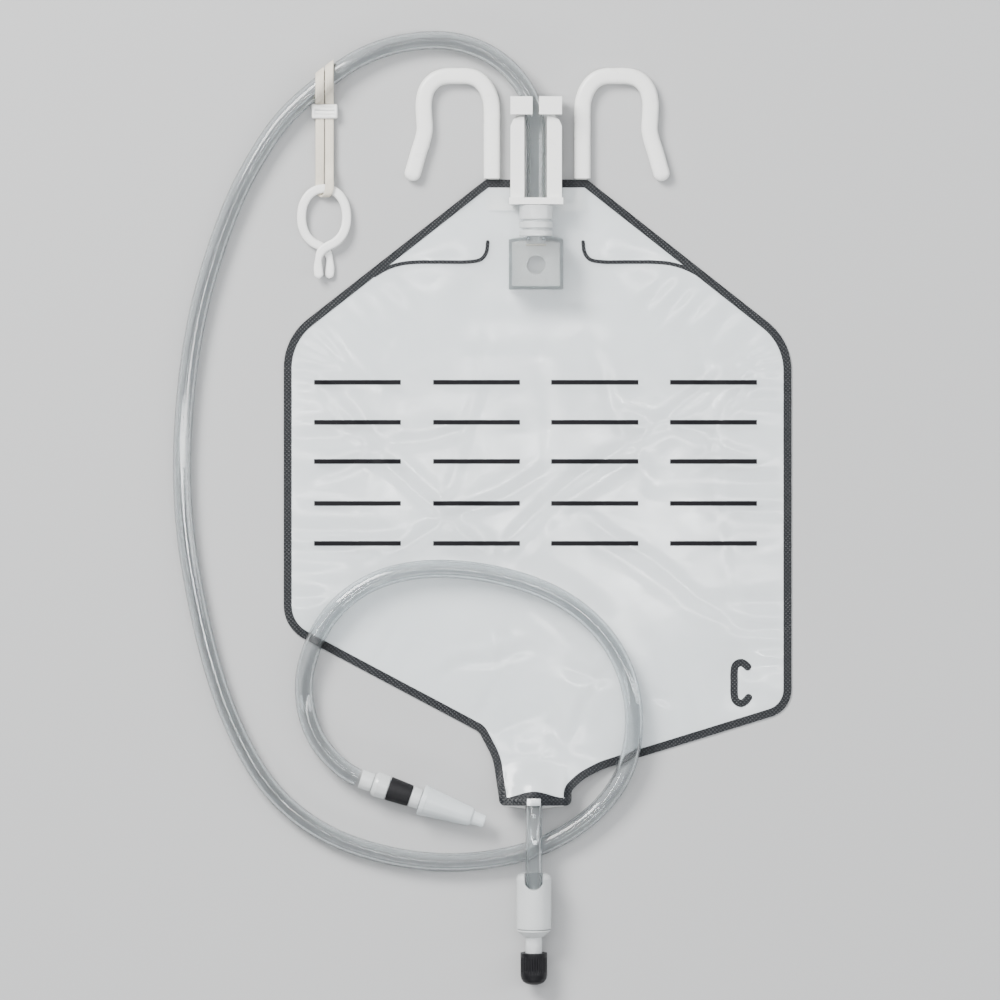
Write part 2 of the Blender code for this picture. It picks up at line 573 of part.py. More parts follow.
    housing = prism("valve_housing", box_outline(0), BOX_Z[0], BOX_Z[1], clear_plastic)
    combine(housing, prism("box_hollow", box_outline(BOX_WALL), BOX_Z[0] - 1, BOX_Z[1] - BOX_WALL), "DIFFERENCE")
    combine(housing, round_bar("box_inlet", INLET_HOLE_R, (INLET_X, 124.0, INLET_Z), (INLET_X, 133.0, INLET_Z), 20), "DIFFERENCE")
    plate = prism("valve_back_plate", box_outline(0), PLATE_Z[0], PLATE_Z[1], white_plastic)
    combine(plate, prism("plate_step", box_outline(BOX_WALL + 0.35), PLATE_Z[1] - 0.3, PLATE_Z[1] + 1.1), "UNION")
    combine(plate, round_bar("plate_hole", 4.2, (INLET_X, 117.0, 0.0), (INLET_X, 117.0, 8.0), 20), "DIFFERENCE")
    half, fy, thick, fz0, fz1 = FLAP
    flap = prism("anti_reflux_flap", [
        (-half, -(fz1 - fz0) + 2.2), (-half + 2.2, -(fz1 - fz0)), (half - 2.2, -(fz1 - fz0)), (half, -(fz1 - fz0) + 2.2),
        (half, 0.0), (-half, 0.0),
    ], -thick, 0.0, pale_rubber)
    flap.matrix_world = Matrix.Translation(Vector((INLET_X, fy, fz1)) * MM) @ Matrix.Rotation(math.radians(90), 4, "X")
    flap.matrix_world = Matrix.Translation(Vector((INLET_X, fy, fz1)) * MM) @ Matrix(((1, 0, 0, 0), (0, 0, 1, 0), (0, 1, 0, 0), (0, 0, 0, 1)))

    # long tube
    curve = bpy.data.curves.new("inlet_tube", "CURVE")
    curve.dimensions = "3D"
    curve.bevel_depth = TUBE_R * MM
    curve.bevel_resolution = 3
    curve.use_fill_caps = True
    line = curve.splines.new("POLY")
    points = smooth_curve(TUBE_ROUTE, TUBE_POINTS)
    line.points.add(len(points) - 1)
    for spot, p in zip(line.points, points):
        spot.co = (p[0] * MM, p[1] * MM, p[2] * MM, 1.0)
    line.use_smooth = True
    tube = bpy.data.objects.new("inlet_tube", curve)
    bpy.context.scene.collection.objects.link(tube)
    curve.materials.append(clear_tube)

    # connector with its sampling sleeve and nozzle cap
    along = (math.cos(CONNECTOR_ANGLE), math.sin(CONNECTOR_ANGLE), 0)
    place(turned("tube_collar", COLLAR_PROFILE, clear_plastic), CONNECTOR_START, along)
    place(turned("connector_body", CONNECTOR_PROFILE, clear_plastic), CONNECTOR_START, along)
    place(turned("sample_sleeve", SLEEVE_PROFILE, dark_rubber), CONNECTOR_START, along)
    place(turned("connector_cap", NOZZLE_CAP_PROFILE, clear_plastic), CONNECTOR_START, along)

    # strap: one band whose two legs run side by side round the tube, meet in a
    # lug under the slider, and pass through the ring at the other end
    def leg(x):
        """Points from the lug, under and round the tube, to the slider."""
        centre = HANG_AT[1] + TUBE_SLOPE * (x - HANG_AT[0])
        out = [(x, 184.0, 1.65, 0.0), (x, 189.4, 1.65, 0.0), (x, 191.2, 1.45, 0.4)]
        for k in range(13):
            a = math.radians(-105 + 265 * k / 12)
            out.append((x, centre + LOOP_Y * math.cos(a), HANG_AT[2] + LOOP_Z * math.sin(a), 1.0))
        out += [(x, centre - LOOP_Y - 0.5, HANG_AT[2] - 0.6, 0.8), (x, 190.6, 3.75, 0.3), (x, 189.4, 3.1, 0.0), (x, 183.0, 3.05, 0.0)]
        return out

    right_x, left_x = LEG_X
    spots = leg(right_x)
    spots += [(right_x, 172.0, 3.05, 0), (right_x, 162.5, 3.05, 0), (right_x, 159.4, 4.0, 0), (right_x, 156.4, 5.15, 0), (right_x, 151.2, 5.25, 0)]
    spots += [
        (right_x - 0.7, 149.1, 4.9, 0), (right_x - 1.5, 148.2, 4.0, 0), (right_x - 2.15, 148.0, 3.0, 0), (left_x + 1.5, 148.2, 1.9, 0),
        (left_x + 0.7, 149.0, 1.05, 0), (left_x, 151.2, 0.75, 0),
    ]
    spots += [(left_x, 156.4, 0.8, 0), (left_x, 160.0, 1.4, 0), (left_x, 165.0, 2.2, 0), (left_x, 173.0, 3.0, 0)]
    spots += leg(left_x)[::-1]
    path = np.array([s[:3] for s in spots])
    t = tangents(path)
    sides = np.array([(1.0, TUBE_SLOPE * s[3], 0.0) for s in spots])
    normal = np.cross(np.tile((1.0, 0.0, 0.0), (len(t), 1)), t)
    normal /= np.linalg.norm(normal, axis=1)[:, None]
    a, b = LEG_W / 2, LEG_T / 2
    band = sweep("clip_band", path, sides, normal, [(a, -b), (a, b), (-a, b), (-a, -b)], pale_rubber)
    combine(band, box("lug_form", (left_x - a, right_x + a), (183.4, 189.0), (1.1 - 0.02, 2.2 + 0.02)), "UNION")

    x0, x1, y0, y1, z0, z1 = SLIDER
    slider = box("band_slider", (x0, x1), (y0, y1), (z0, z1), white_plastic, chamfer=0.4)
    sx0, sx1, sz0, sz1 = SLIDER_SLOT
    combine(slider, box("slider_slot", (sx0, sx1), (y0 - 1, y1 + 1), (sz0, sz1)), "DIFFERENCE")

    ring = smooth_curve([(RING_CENTRE[0] + x, y, z) for x, y, z in RING_PATH], 46)
    t = tangents(ring)
    across = np.cross(t, (0.0, 0.0, 1.0))
    across /= np.linalg.norm(across, axis=1)[:, None]
    ups = np.cross(across, t)
    sweep("sheet_clip", ring, across, ups, chamfered(*RING_SECTION), white_plastic)

    # outlet fitment: boat-shaped block welded between the films
    port_z = FILM_T + PORT_ROOM + lift(OUTLET_X, PORT_Y)
    boat = [(x, boat_half(x)) for x in (-PORT_HALF_W + 2 * PORT_HALF_W * k / 14 for k in range(15))]
    boat = [(x, -h) for x, h in boat] + [(x, h) for x, h in boat[::-1]]
    port = prism("outlet_port", boat, -PORT_HALF_L, PORT_HALF_L, white_plastic)
    combine(port, round_bar("port_socket", OUT_TUBE_R + 0.3, (0, 0, 0.0), (0, 0, 9.0), 20), "DIFFERENCE")
    combine(port, round_bar("port_passage", 2.4, (0, 0, -14.0), (0, 0, 1.0)), "DIFFERENCE")
    up_out = (0, -math.cos(LIFT_ANGLE), math.sin(LIFT_ANGLE))
    place(port, (OUTLET_X, PORT_Y, port_z), up_out)
    for name in ("port_socket", "port_passage"):
        place(bpy.data.objects[name], (OUTLET_X, PORT_Y, port_z), up_out)

    route = smooth_curve([(OUTLET_X, y, z) for y, z in OUT_TUBE_ROUTE], 15)
    t = tangents(route)
    side = np.tile((1.0, 0.0, 0.0), (len(t), 1))
    ups = np.cross(side, t)
    bm = bmesh.new()
    count = 16
    shells = []
    for r in (OUT_TUBE_R, OUT_TUBE_BORE):
        shells.append([
            [
                bm.verts.new(tuple((p + s * r * math.cos(2 * math.pi * k / count) + u * r * math.sin(2 * math.pi * k / count)) * MM))
                for k in range(count)
            ]
            for p, s, u in zip(route, side, ups)
        ])
    for rows in shells:
        for first, second in zip(rows, rows[1:]):
            for k in range(count):
                m = (k + 1) % count
                bm.faces.new((first[k], first[m], second[m], second[k]))
    for end in (0, -1):
        for k in range(count):
            m = (k + 1) % count
            bm.faces.new((shells[0][end][k], shells[0][end][m], shells[1][end][m], shells[1][end][k]))
    link("outlet_tube", bm, clear_tube)

    # push-pull drain valve, all about one axis
    aim = (0, -math.cos(VALVE_ANGLE), -math.sin(VALVE_ANGLE))
    body = place(turned("outlet_valve_body", VALVE_BODY_PROFILE, clear_plastic, 24), VALVE_START, aim)
    half, straight = NOTCH
    notch = [(-half, -2.0), (half, -2.0)] + [
        (half * math.cos(a), straight + half * math.sin(a)) for a in (math.pi * k / 10 for k in range(11))
    ]
    cutter = prism("valve_notch", notch, 0.6, 12.0)
    cutter.matrix_world = body.matrix_world @ Matrix(((-1, 0, 0, 0), (0, 0, 1, 0), (0, 1, 0, 0), (0, 0, 0, 1)))
    combine(body, cutter, "DIFFERENCE")
    place(turned("outlet_valve_collar", GLAND_PROFILE, white_plastic, 24), VALVE_START, aim)
    spigot = place(turned("outlet_spigot", SPIGOT_PROFILE, clear_plastic), VALVE_START, aim)
    hole = round_bar("cross_hole", CROSS_HOLE[0], (-6, 0, CROSS_HOLE[1]), (6, 0, CROSS_HOLE[1]), 12)
    hole.matrix_world = spigot.matrix_world.copy()
    combine(spigot, hole, "DIFFERENCE")
    major, minor, station = ORING
    seal = [(major + minor * math.cos(a), station + minor * math.sin(a)) for a in (2 * math.pi * k / 8 for k in range(8))]
    place(turned("spigot_o_ring", seal, dark_rubber), VALVE_START, aim)
    place(turned("outlet_cap", END_CAP_PROFILE, black_plastic), VALVE_START, aim)


main()
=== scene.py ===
import math

import bmesh
import bpy
import numpy as np
from mathutils import Matrix, Vector, noise
from mathutils.geometry import delaunay_2d_cdt


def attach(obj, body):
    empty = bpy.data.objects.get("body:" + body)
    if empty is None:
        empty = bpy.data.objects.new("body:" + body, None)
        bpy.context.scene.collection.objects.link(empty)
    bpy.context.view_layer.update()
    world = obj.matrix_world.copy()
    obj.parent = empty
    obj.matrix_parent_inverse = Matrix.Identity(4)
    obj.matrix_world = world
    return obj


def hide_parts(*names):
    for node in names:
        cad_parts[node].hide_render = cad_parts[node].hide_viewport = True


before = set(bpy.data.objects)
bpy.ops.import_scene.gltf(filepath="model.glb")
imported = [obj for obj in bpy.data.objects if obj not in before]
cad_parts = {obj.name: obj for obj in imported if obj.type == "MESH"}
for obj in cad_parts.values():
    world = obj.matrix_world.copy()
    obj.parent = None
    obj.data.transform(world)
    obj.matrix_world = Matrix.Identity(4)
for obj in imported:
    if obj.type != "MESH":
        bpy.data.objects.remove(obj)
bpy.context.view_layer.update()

MM = 0.001
RNG = np.random.default_rng(7)


# =============================================================== camera, light
def make_camera():
    cam = bpy.data.cameras.new("camera")
    cam.sensor_width = 36.0
    cam.sensor_height = 36.0
    cam.sensor_fit = "HORIZONTAL"
    cam.lens = 600.0
    cam.clip_start = 0.05
    cam.clip_end = 60.0
    obj = bpy.data.objects.new("camera", cam)
    # the drawing's 1000 pixels span 450 mm, seen square on from above
    obj.location = (-0.0170, 0.01125, 7.505)
    obj.rotation_euler = (0.0, 0.0, 0.0)
    bpy.context.scene.collection.objects.link(obj)
    bpy.context.scene.camera = obj


def area_light(name, at, aim, size, energy, colour=(1.0, 1.0, 1.0)):
    data = bpy.data.lights.new(name, "AREA")
    data.shape = "RECTANGLE"
    data.size, data.size_y = size
    data.energy = energy
    data.color = colour
    obj = bpy.data.objects.new(name, data)
    obj.location = at
    obj.rotation_euler = (Vector(aim) - Vector(at)).to_track_quat("-Z", "Y").to_euler()
    obj.visible_camera = False
    bpy.context.scene.collection.objects.link(obj)


def make_lights():
    area_light("key", (-1.05, 1.20, 1.40), (0, 0, 0), (0.95, 0.80), 88.0, (1.0, 0.985, 0.965))
    area_light("side", (1.35, 0.1, 0.75), (0, 0, 0), (0.30, 1.2), 9.5, (0.97, 0.985, 1.0))
    area_light("foot", (-0.15, -1.35, 0.85), (0, 0, 0), (1.2, 0.25), 7.0)
    area_light("strip_left", (-0.50, 0.05, 1.7), (-0.02, 0, 0), (0.07, 1.3), 8.0)
    area_light("strip_right", (0.55, 0.0, 1.7), (-0.02, 0, 0), (0.07, 1.3), 7.0)
    area_light("strip_top", (0.0, 0.72, 1.8), (0, 0.05, 0), (1.0, 0.07), 6.0)
    # pale overhead, falling away to a darker horizon that draws the edges of round parts
    world = bpy.data.worlds.new("studio")
    bpy.context.scene.world = world
    world.use_nodes = True
    tree = world.node_tree
    back = tree.nodes["Background"]
    spot = tree.nodes.new("ShaderNodeTexCoord")
    split = tree.nodes.new("ShaderNodeSeparateXYZ")
    tree.links.new(spot.outputs["Generated"], split.inputs[0])
    ramp = tree.nodes.new("ShaderNodeMapRange")
    ramp.interpolation_type = "SMOOTHSTEP"
    ramp.inputs["From Min"].default_value = 0.05
    ramp.inputs["From Max"].default_value = 0.80
    ramp.inputs["To Min"].default_value = 0.04
    ramp.inputs["To Max"].default_value = 0.58
    tree.links.new(split.outputs["Z"], ramp.inputs["Value"])
    back.inputs["Color"].default_value = (0.95, 0.97, 1.0, 1)
    tree.links.new(ramp.outputs["Result"], back.inputs["Strength"])


# =================================================================== materials
class Paint:
    """A material with a Principled shader, and short ways to add nodes."""

    def __init__(self, name):
        self.mat = bpy.data.materials.new(name)
        self.mat.use_nodes = True
        self.tree = self.mat.node_tree
        self.shader = self.tree.nodes["Principled BSDF"]
        self.coords = self.node("ShaderNodeTexCoord").outputs["Object"]

    def node(self, kind, **settings):
        n = self.tree.nodes.new(kind)
        for key, value in settings.items():
            setattr(n, key, value)
        return n

    def wire(self, a, b):
        self.tree.links.new(a, b)

    def set(self, **values):
        for key, value in values.items():
            self.shader.inputs[key.replace("_", " ")].default_value = value

    def noise(self, scale, detail=3.0, rough=0.55, stretch=None, distort=0.0):
        n = self.node("ShaderNodeTexNoise")
        n.inputs["Scale"].default_value = scale
        n.inputs["Detail"].default_value = detail
        n.inputs["Roughness"].default_value = rough
        n.inputs["Distortion"].default_value = distort
        self.wire(self.mapped(stretch), n.inputs["Vector"])
        return n.outputs["Fac"]

    def mapped(self, stretch=None, turn=None):
        if stretch is None and turn is None:
            return self.coords
        m = self.node("ShaderNodeMapping")
        if stretch is not None:
            m.inputs["Scale"].default_value = stretch
        if turn is not None:
            m.inputs["Rotation"].default_value = turn
        self.wire(self.coords, m.inputs["Vector"])
        return m.outputs["Vector"]

    def ramp(self, source, low, high, a, b):
        r = self.node("ShaderNodeMapRange")
        r.inputs["From Min"].default_value = low
        r.inputs["From Max"].default_value = high
        r.inputs["To Min"].default_value = a
        r.inputs["To Max"].default_value = b
        self.wire(source, r.inputs["Value"])
        return r.outputs["Result"]

    def mix(self, fac, a, b):
        m = self.node("ShaderNodeMix", data_type="RGBA")
        self.wire(fac, m.inputs["Factor"])
        m.inputs[6].default_value = (*a, 1)
        m.inputs[7].default_value = (*b, 1)
        return m.outputs[2]

    def maths(self, operation, a, b=None):
        m = self.node("ShaderNodeMath", operation=operation)
        for i, value in enumerate((a, b)):
            if value is None:
                continue
            if isinstance(value, (int, float)):
                m.inputs[i].default_value = value
            else:
                self.wire(value, m.inputs[i])
        return m.outputs[0]

    def colour(self, fac, a, b):
        self.wire(self.mix(fac, a, b), self.shader.inputs["Base Color"])

    def rough(self, fac, a, b):
        self.wire(self.ramp(fac, 0.25, 0.75, a, b), self.shader.inputs["Roughness"])

    def bump(self, *layers):
        """layers: (height, distance in metres, strength), the coarsest first."""
        last = None
        for height, distance, strength in layers:
            b = self.node("ShaderNodeBump")
            b.inputs["Strength"].default_value = strength
            b.inputs["Distance"].default_value = distance
            self.wire(height, b.inputs["Height"])
            if last is not None:
                self.wire(last, b.inputs["Normal"])
            last = b.outputs["Normal"]
        self.wire(last, self.shader.inputs["Normal"])


def film_paint():
    p = Paint("clear_vinyl_film")
    p.set(IOR=1.52, Specular_IOR_Level=0.9, Alpha=0.34)
    p.colour(p.noise(14, 1), (0.74, 0.80, 0.83), (0.84, 0.885, 0.905))
    p.rough(p.noise(90, 1), 0.10, 0.20)
    p.bump((p.noise(16, 2), 0.0030, 0.30), (p.noise(50, 3), 0.0007, 0.30))
    return p.mat


def weld_paint():
    """Fused rim: darker, with the fine crossed ribs of the welding bar, whose grooves carry painted shade."""
    p = Paint("welded_rim")
    p.set(IOR=1.5, Specular_IOR_Level=0.25)
    ribs = []
    for turn in (0.785, -0.785):
        w = p.node("ShaderNodeTexWave", wave_type="BANDS", bands_direction="X")
        w.inputs["Scale"].default_value = 250
        p.wire(p.mapped(turn=(0, 0, turn)), w.inputs["Vector"])
        ribs.append(w.outputs["Fac"])
    cross = p.maths("MULTIPLY", ribs[0], ribs[1])
    # colour follows the rib height: crests lighter and grooves darker, which is painted shade in the grooves
    p.colour(p.ramp(cross, 0.0, 0.8, 0.0, 1.0), (0.005, 0.006, 0.008), (0.026, 0.029, 0.033))
    p.rough(p.noise(200, 2), 0.30, 0.45)
    p.bump((cross, 0.00030, 0.7))
    return p.mat


def ink_paint():
    p = Paint("printed_ink")
    p.set(IOR=1.45, Specular_IOR_Level=0.12)
    p.colour(p.noise(900, 4, 0.7), (0.002, 0.002, 0.003), (0.008, 0.008, 0.010))
    p.rough(p.noise(300, 2), 0.36, 0.50)
    p.bump((p.noise(420, 3), 0.00006, 0.3))
    return p.mat


def rear_paint():
    p = Paint("white_vinyl_film")
    p.set(IOR=1.5, Specular_IOR_Level=0.4)
    p.colour(p.noise(20, 1), (0.86, 0.875, 0.88), (0.90, 0.91, 0.915))
    p.rough(p.noise(120, 1), 0.36, 0.5)
    p.bump((p.noise(60, 2), 0.0006, 0.2))
    return p.mat


def white_paint(name="white_moulding", tone=(0.84, 0.845, 0.83)):
    p = Paint(name)
    p.set(IOR=1.49)
    light = tuple(min(1.0, c * 1.06) for c in tone)
    p.colour(p.noise(40, 4), tone, light)
    p.rough(p.noise(160, 4), 0.24, 0.38)
    p.bump((p.noise(90, 3), 0.00030, 0.15), (p.noise(1500, 2), 0.00004, 0.3))
    return p.mat


def thin_paint(name, tint, alpha, rough=0.06):
    """Clear plastic in walls too thin to bend the light."""
    p = Paint(name)
    p.set(IOR=1.50, Specular_IOR_Level=0.8, Alpha=alpha)
    p.colour(p.noise(60, 3), tint, tuple(min(1.0, c * 1.06) for c in tint))
    p.rough(p.noise(140, 3), rough, rough + 0.06)
    p.bump((p.noise(120, 3), 0.00012, 0.2), (p.noise(1300, 2), 0.00002, 0.3))
    return p.mat


def clear_paint(name, tint, rough=0.04, weight=0.96, absorb=None, grain=True):
    """absorb: (colour, density) of the light lost inside the plastic."""
    p = Paint(name)
    p.set(IOR=1.50, Transmission_Weight=weight, Specular_IOR_Level=0.5)
    p.colour(p.noise(50, 2), tint, tuple(min(1.0, c * 1.02) for c in tint))
    p.rough(p.noise(140, 2), rough, rough + 0.05)
    layers = [(p.noise(160, 2), 0.00010, 0.2)]
    if grain:
        layers.append((p.noise(1300, 2), 0.00002, 0.3))
    p.bump(*layers)
    if absorb:
        v = p.node("ShaderNodeVolumeAbsorption")
        v.inputs["Color"].default_value = (*absorb[0], 1)
        v.inputs["Density"].default_value = absorb[1]
        out = next(n for n in p.tree.nodes if n.type == "OUTPUT_MATERIAL")
        p.wire(v.outputs["Volume"], out.inputs["Volume"])
    return p.mat


def dark_paint(name, tone, rough_low, rough_high, grain):
    p = Paint(name)
    p.set(IOR=1.45, Specular_IOR_Level=0.28)
    p.colour(p.noise(grain, 5, 0.65), tone, tuple(c * 1.9 for c in tone))
    p.rough(p.noise(grain * 0.6, 3), rough_low, rough_high)
    p.bump((p.noise(grain * 0.2, 3), 0.00025, 0.2), (p.noise(grain * 2, 2), 0.00005, 0.5))
    return p.mat


def strap_paint():
    p = Paint("elastic_strap")
    p.set(IOR=1.48, Specular_IOR_Level=0.35)
    p.colour(p.noise(300, 4), (0.64, 0.59, 0.49), (0.76, 0.71, 0.61))
    p.rough(p.noise(200, 3), 0.45, 0.6)
    w = p.node("ShaderNodeTexWave", wave_type="BANDS", bands_direction="X")
    w.inputs["Scale"].default_value = 420
    p.wire(p.coords, w.inputs["Vector"])
    p.bump((w.outputs["Fac"], 0.00018, 0.5), (p.noise(1500, 2), 0.00005, 0.5))
    return p.mat


def floor_paint():
    p = Paint("pale_floor")
    p.set(Specular_IOR_Level=0.3)
    p.shader.inputs["Roughness"].default_value = 0.65
    p.colour(p.noise(3.0, 1), (0.435, 0.44, 0.445), (0.45, 0.455, 0.46))
    return p.mat


# ============================================================ geometry helpers
def finish_mesh(name, bm, mats, smooth=True, sharp=40.0):
    bmesh.ops.remove_doubles(bm, verts=bm.verts, dist=2e-7)
    bmesh.ops.recalc_face_normals(bm, faces=bm.faces)
    mesh = bpy.data.meshes.new(name)
    bm.to_mesh(mesh)
    bm.free()
    if smooth:
        mesh.shade_smooth()
        mesh.set_sharp_from_angle(angle=math.radians(sharp))
    obj = bpy.data.objects.new(name, mesh)
    bpy.context.scene.collection.objects.link(obj)
    for mat in mats if isinstance(mats, (list, tuple)) else [mats]:
        mesh.materials.append(mat)
    return obj


def applied(obj):
    """Replaces the object's mesh by its evaluated one, without modifiers."""
    graph = bpy.context.evaluated_depsgraph_get()
    graph.update()
    mesh = bpy.data.meshes.new_from_object(obj.evaluated_get(graph))
    obj.modifiers.clear()
    obj.data = mesh
    return obj


def weighted(obj):
    """Lets the large flat faces set the shading, so rounded edges don't tint them."""
    mod = obj.modifiers.new("w", "WEIGHTED_NORMAL")
    mod.keep_sharp = True
    mod.weight = 90
    return applied(obj)


def combined(obj, others, operation="UNION"):
    for other in others:
        mod = obj.modifiers.new("b", "BOOLEAN")
        mod.operation, mod.solver, mod.object = operation, "EXACT", other
    applied(obj)
    for other in others:
        bpy.data.objects.remove(other, do_unlink=True)
    return obj


def rounded_profile(profile, radius, steps=4):
    """Rounds the corners of a closed (radius, station) profile, apart from those on the axis."""
    out = []
    n = len(profile)
    for i, (r, s) in enumerate(profile):
        p = np.array((r, s), float)
        a, b = np.array(profile[i - 1], float) - p, np.array(profile[(i + 1) % n], float) - p
        la, lb = np.linalg.norm(a), np.linalg.norm(b)
        if r < 1e-9 or la < 1e-9 or lb < 1e-9:
            out.append(tuple(p))
            continue
        a, b = a / la, b / lb
        angle = math.acos(max(-1.0, min(1.0, float(a @ b))))
        if angle > math.radians(172):
            out.append(tuple(p))
            continue
        reach = min(radius / math.tan(angle / 2), 0.45 * la, 0.45 * lb)
        for k in range(steps + 1):
            t = k / steps
            q = (1 - t) ** 2 * (p + a * reach) + 2 * t * (1 - t) * p + t * t * (p + b * reach)
            out.append(tuple(q))
    return out


def turned(name, profile, mats, at, direction, radius=0.25, sides=96, shape=None):
    """A turned piece about its own axis; shape(radius, station, angle) may move the radius."""
    bm = bmesh.new()
    rings = []
    for r, s in rounded_profile(profile, radius):
        if r < 1e-9:
            rings.append([bm.verts.new((0.0, 0.0, s * MM))])
            continue
        ring = []
        for k in range(sides):
            a = 2 * math.pi * k / sides
            rr = shape(r, s, a) if shape else r
            ring.append(bm.verts.new((rr * MM * math.cos(a), rr * MM * math.sin(a), s * MM)))
        rings.append(ring)
    for i, first in enumerate(rings):
        second = rings[(i + 1) % len(rings)]
        if len(first) == 1 and len(second) == 1:
            continue
        for k in range(sides):
            m = (k + 1) % sides
            if len(first) == 1:
                bm.faces.new((first[0], second[m], second[k]))
            elif len(second) == 1:
                bm.faces.new((first[k], first[m], second[0]))
            else:
                bm.faces.new((first[k], first[m], second[m], second[k]))
    obj = finish_mesh(name, bm, mats)
    return placed(obj, at, direction)


def placed(obj, at, direction, up=(0, 0, 1)):
    z = Vector(direction).normalized()
    y = (Vector(up) - z * Vector(up).dot(z)).normalized()
    x = y.cross(z)
    obj.matrix_world = Matrix.Translation(Vector(at) * MM) @ Matrix((x, y, z)).transposed().to_4x4()
    return obj


def prism(name, outline, low, high, mats=(), bevel=0.0, segments=3):
    bm = bmesh.new()
    base = [bm.verts.new((x * MM, y * MM, low * MM)) for x, y in outline]
    face = bm.faces.new(base)
    made = bmesh.ops.extrude_face_region(bm, geom=[face])
    top = [v for v in made["geom"] if isinstance(v, bmesh.types.BMVert)]
    bmesh.ops.translate(bm, verts=top, vec=(0, 0, (high - low) * MM))
    if bevel:
        edges = [e for e in bm.edges if len(e.link_faces) == 2 and e.calc_face_angle(0) > math.radians(30)]
        bmesh.ops.bevel(bm, geom=edges, offset=bevel * MM, offset_type="OFFSET", segments=segments, profile=0.5, affect="EDGES", clamp_overlap=True)
    return finish_mesh(name, bm, mats)


def block(name, x, y, z, mats=(), bevel=0.0, segments=3):
    return prism(name, [(x[0], y[0]), (x[1], y[0]), (x[1], y[1]), (x[0], y[1])], z[0], z[1], mats, bevel, segments)


def rod(name, radius, start, end, sides=48, mats=()):
    bm = bmesh.new()
    a, b = Vector(start) * MM, Vector(end) * MM
    bmesh.ops.create_cone(bm, cap_ends=True, segments=sides, radius1=radius * MM, radius2=radius * MM, depth=(b - a).length)
    bmesh.ops.transform(bm, matrix=Matrix.Translation((a + b) / 2) @ (b - a).to_track_quat("Z", "Y").to_matrix().to_4x4(), verts=bm.verts)
    return finish_mesh(name, bm, mats)


def refined(node, name, mats, bevel=0.35, segments=3, angle=32.0):
    """A finer copy of a CAD node's own shape: its flats merged and its edges rounded."""
    bm = bmesh.new()
    bm.from_mesh(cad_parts[node].data)
    bmesh.ops.remove_doubles(bm, verts=bm.verts, dist=2e-6)
    bmesh.ops.dissolve_limit(bm, angle_limit=math.radians(1.0), verts=bm.verts, edges=bm.edges)
    edges = [e for e in bm.edges if len(e.link_faces) == 2 and e.calc_face_angle(0) > math.radians(angle)]
    bmesh.ops.bevel(bm, geom=edges, offset=bevel * MM, offset_type="OFFSET", segments=segments, profile=0.5, affect="EDGES", clamp_overlap=True)
    obj = finish_mesh(name, bm, mats, sharp=42)
    return weighted(obj)


def superellipse(width, thickness, power=4.0, count=28):
    out = []
    for k in range(count):
        a = 2 * math.pi * k / count
        c, s = math.cos(a), math.sin(a)
        out.append((width / 2 * math.copysign(abs(c) ** (2 / power), c), thickness / 2 * math.copysign(abs(s) ** (2 / power), s)))
    return out


def tangents(points):
    t = np.gradient(np.asarray(points, float), axis=0)
    return t / np.linalg.norm(t, axis=1)[:, None]


def sweep(name, points, sides, ups, sections, mats, sharp=40.0):
    """A bar along points. sections is one closed section or one for each point."""
    bm = bmesh.new()
    rows = []
    for i, (p, s, u) in enumerate(zip(points, sides, ups)):
        section = sections[i] if isinstance(sections[0][0], (list, tuple)) else sections
        rows.append([bm.verts.new(tuple((p + s * a + u * b) * MM)) for a, b in section])
    n = len(rows[0])
    for first, second in zip(rows, rows[1:]):
        for i in range(n):
            j = (i + 1) % n
            bm.faces.new((first[i], first[j], second[j], second[i]))
    bm.faces.new(rows[0][::-1])
    bm.faces.new(rows[-1])
    return finish_mesh(name, bm, mats, sharp=sharp)


def hose(name, points, outer, bore, mats, sides=40):
    """A hollow tube along points."""
    points = np.asarray(points, float)
    t = tangents(points)
    side = np.cross(t, np.array((0.0, 0.0, 1.0)))
    side /= np.linalg.norm(side, axis=1)[:, None]
    up = np.cross(side, t)
    bm = bmesh.new()
    edge = 0.18
    shells = []
    for radius, inset in ((outer, edge), (bore, -edge)):
        rows = []
        for i, (p, s, u) in enumerate(zip(points, side, up)):
            rr = radius - (inset if i in (0, len(points) - 1) else 0.0)
            rows.append([
                bm.verts.new(tuple((p + s * rr * math.cos(2 * math.pi * k / sides) + u * rr * math.sin(2 * math.pi * k / sides)) * MM))
                for k in range(sides)
            ])
        shells.append(rows)
    for rows in shells:
        for first, second in zip(rows, rows[1:]):
            for k in range(sides):
                m = (k + 1) % sides
                bm.faces.new((first[k], first[m], second[m], second[k]))
    for end in (0, -1):
        for k in range(sides):
            m = (k + 1) % sides
            bm.faces.new((shells[0][end][k], shells[0][end][m], shells[1][end][m], shells[1][end][k]))
    return finish_mesh(name, bm, mats, sharp=60)


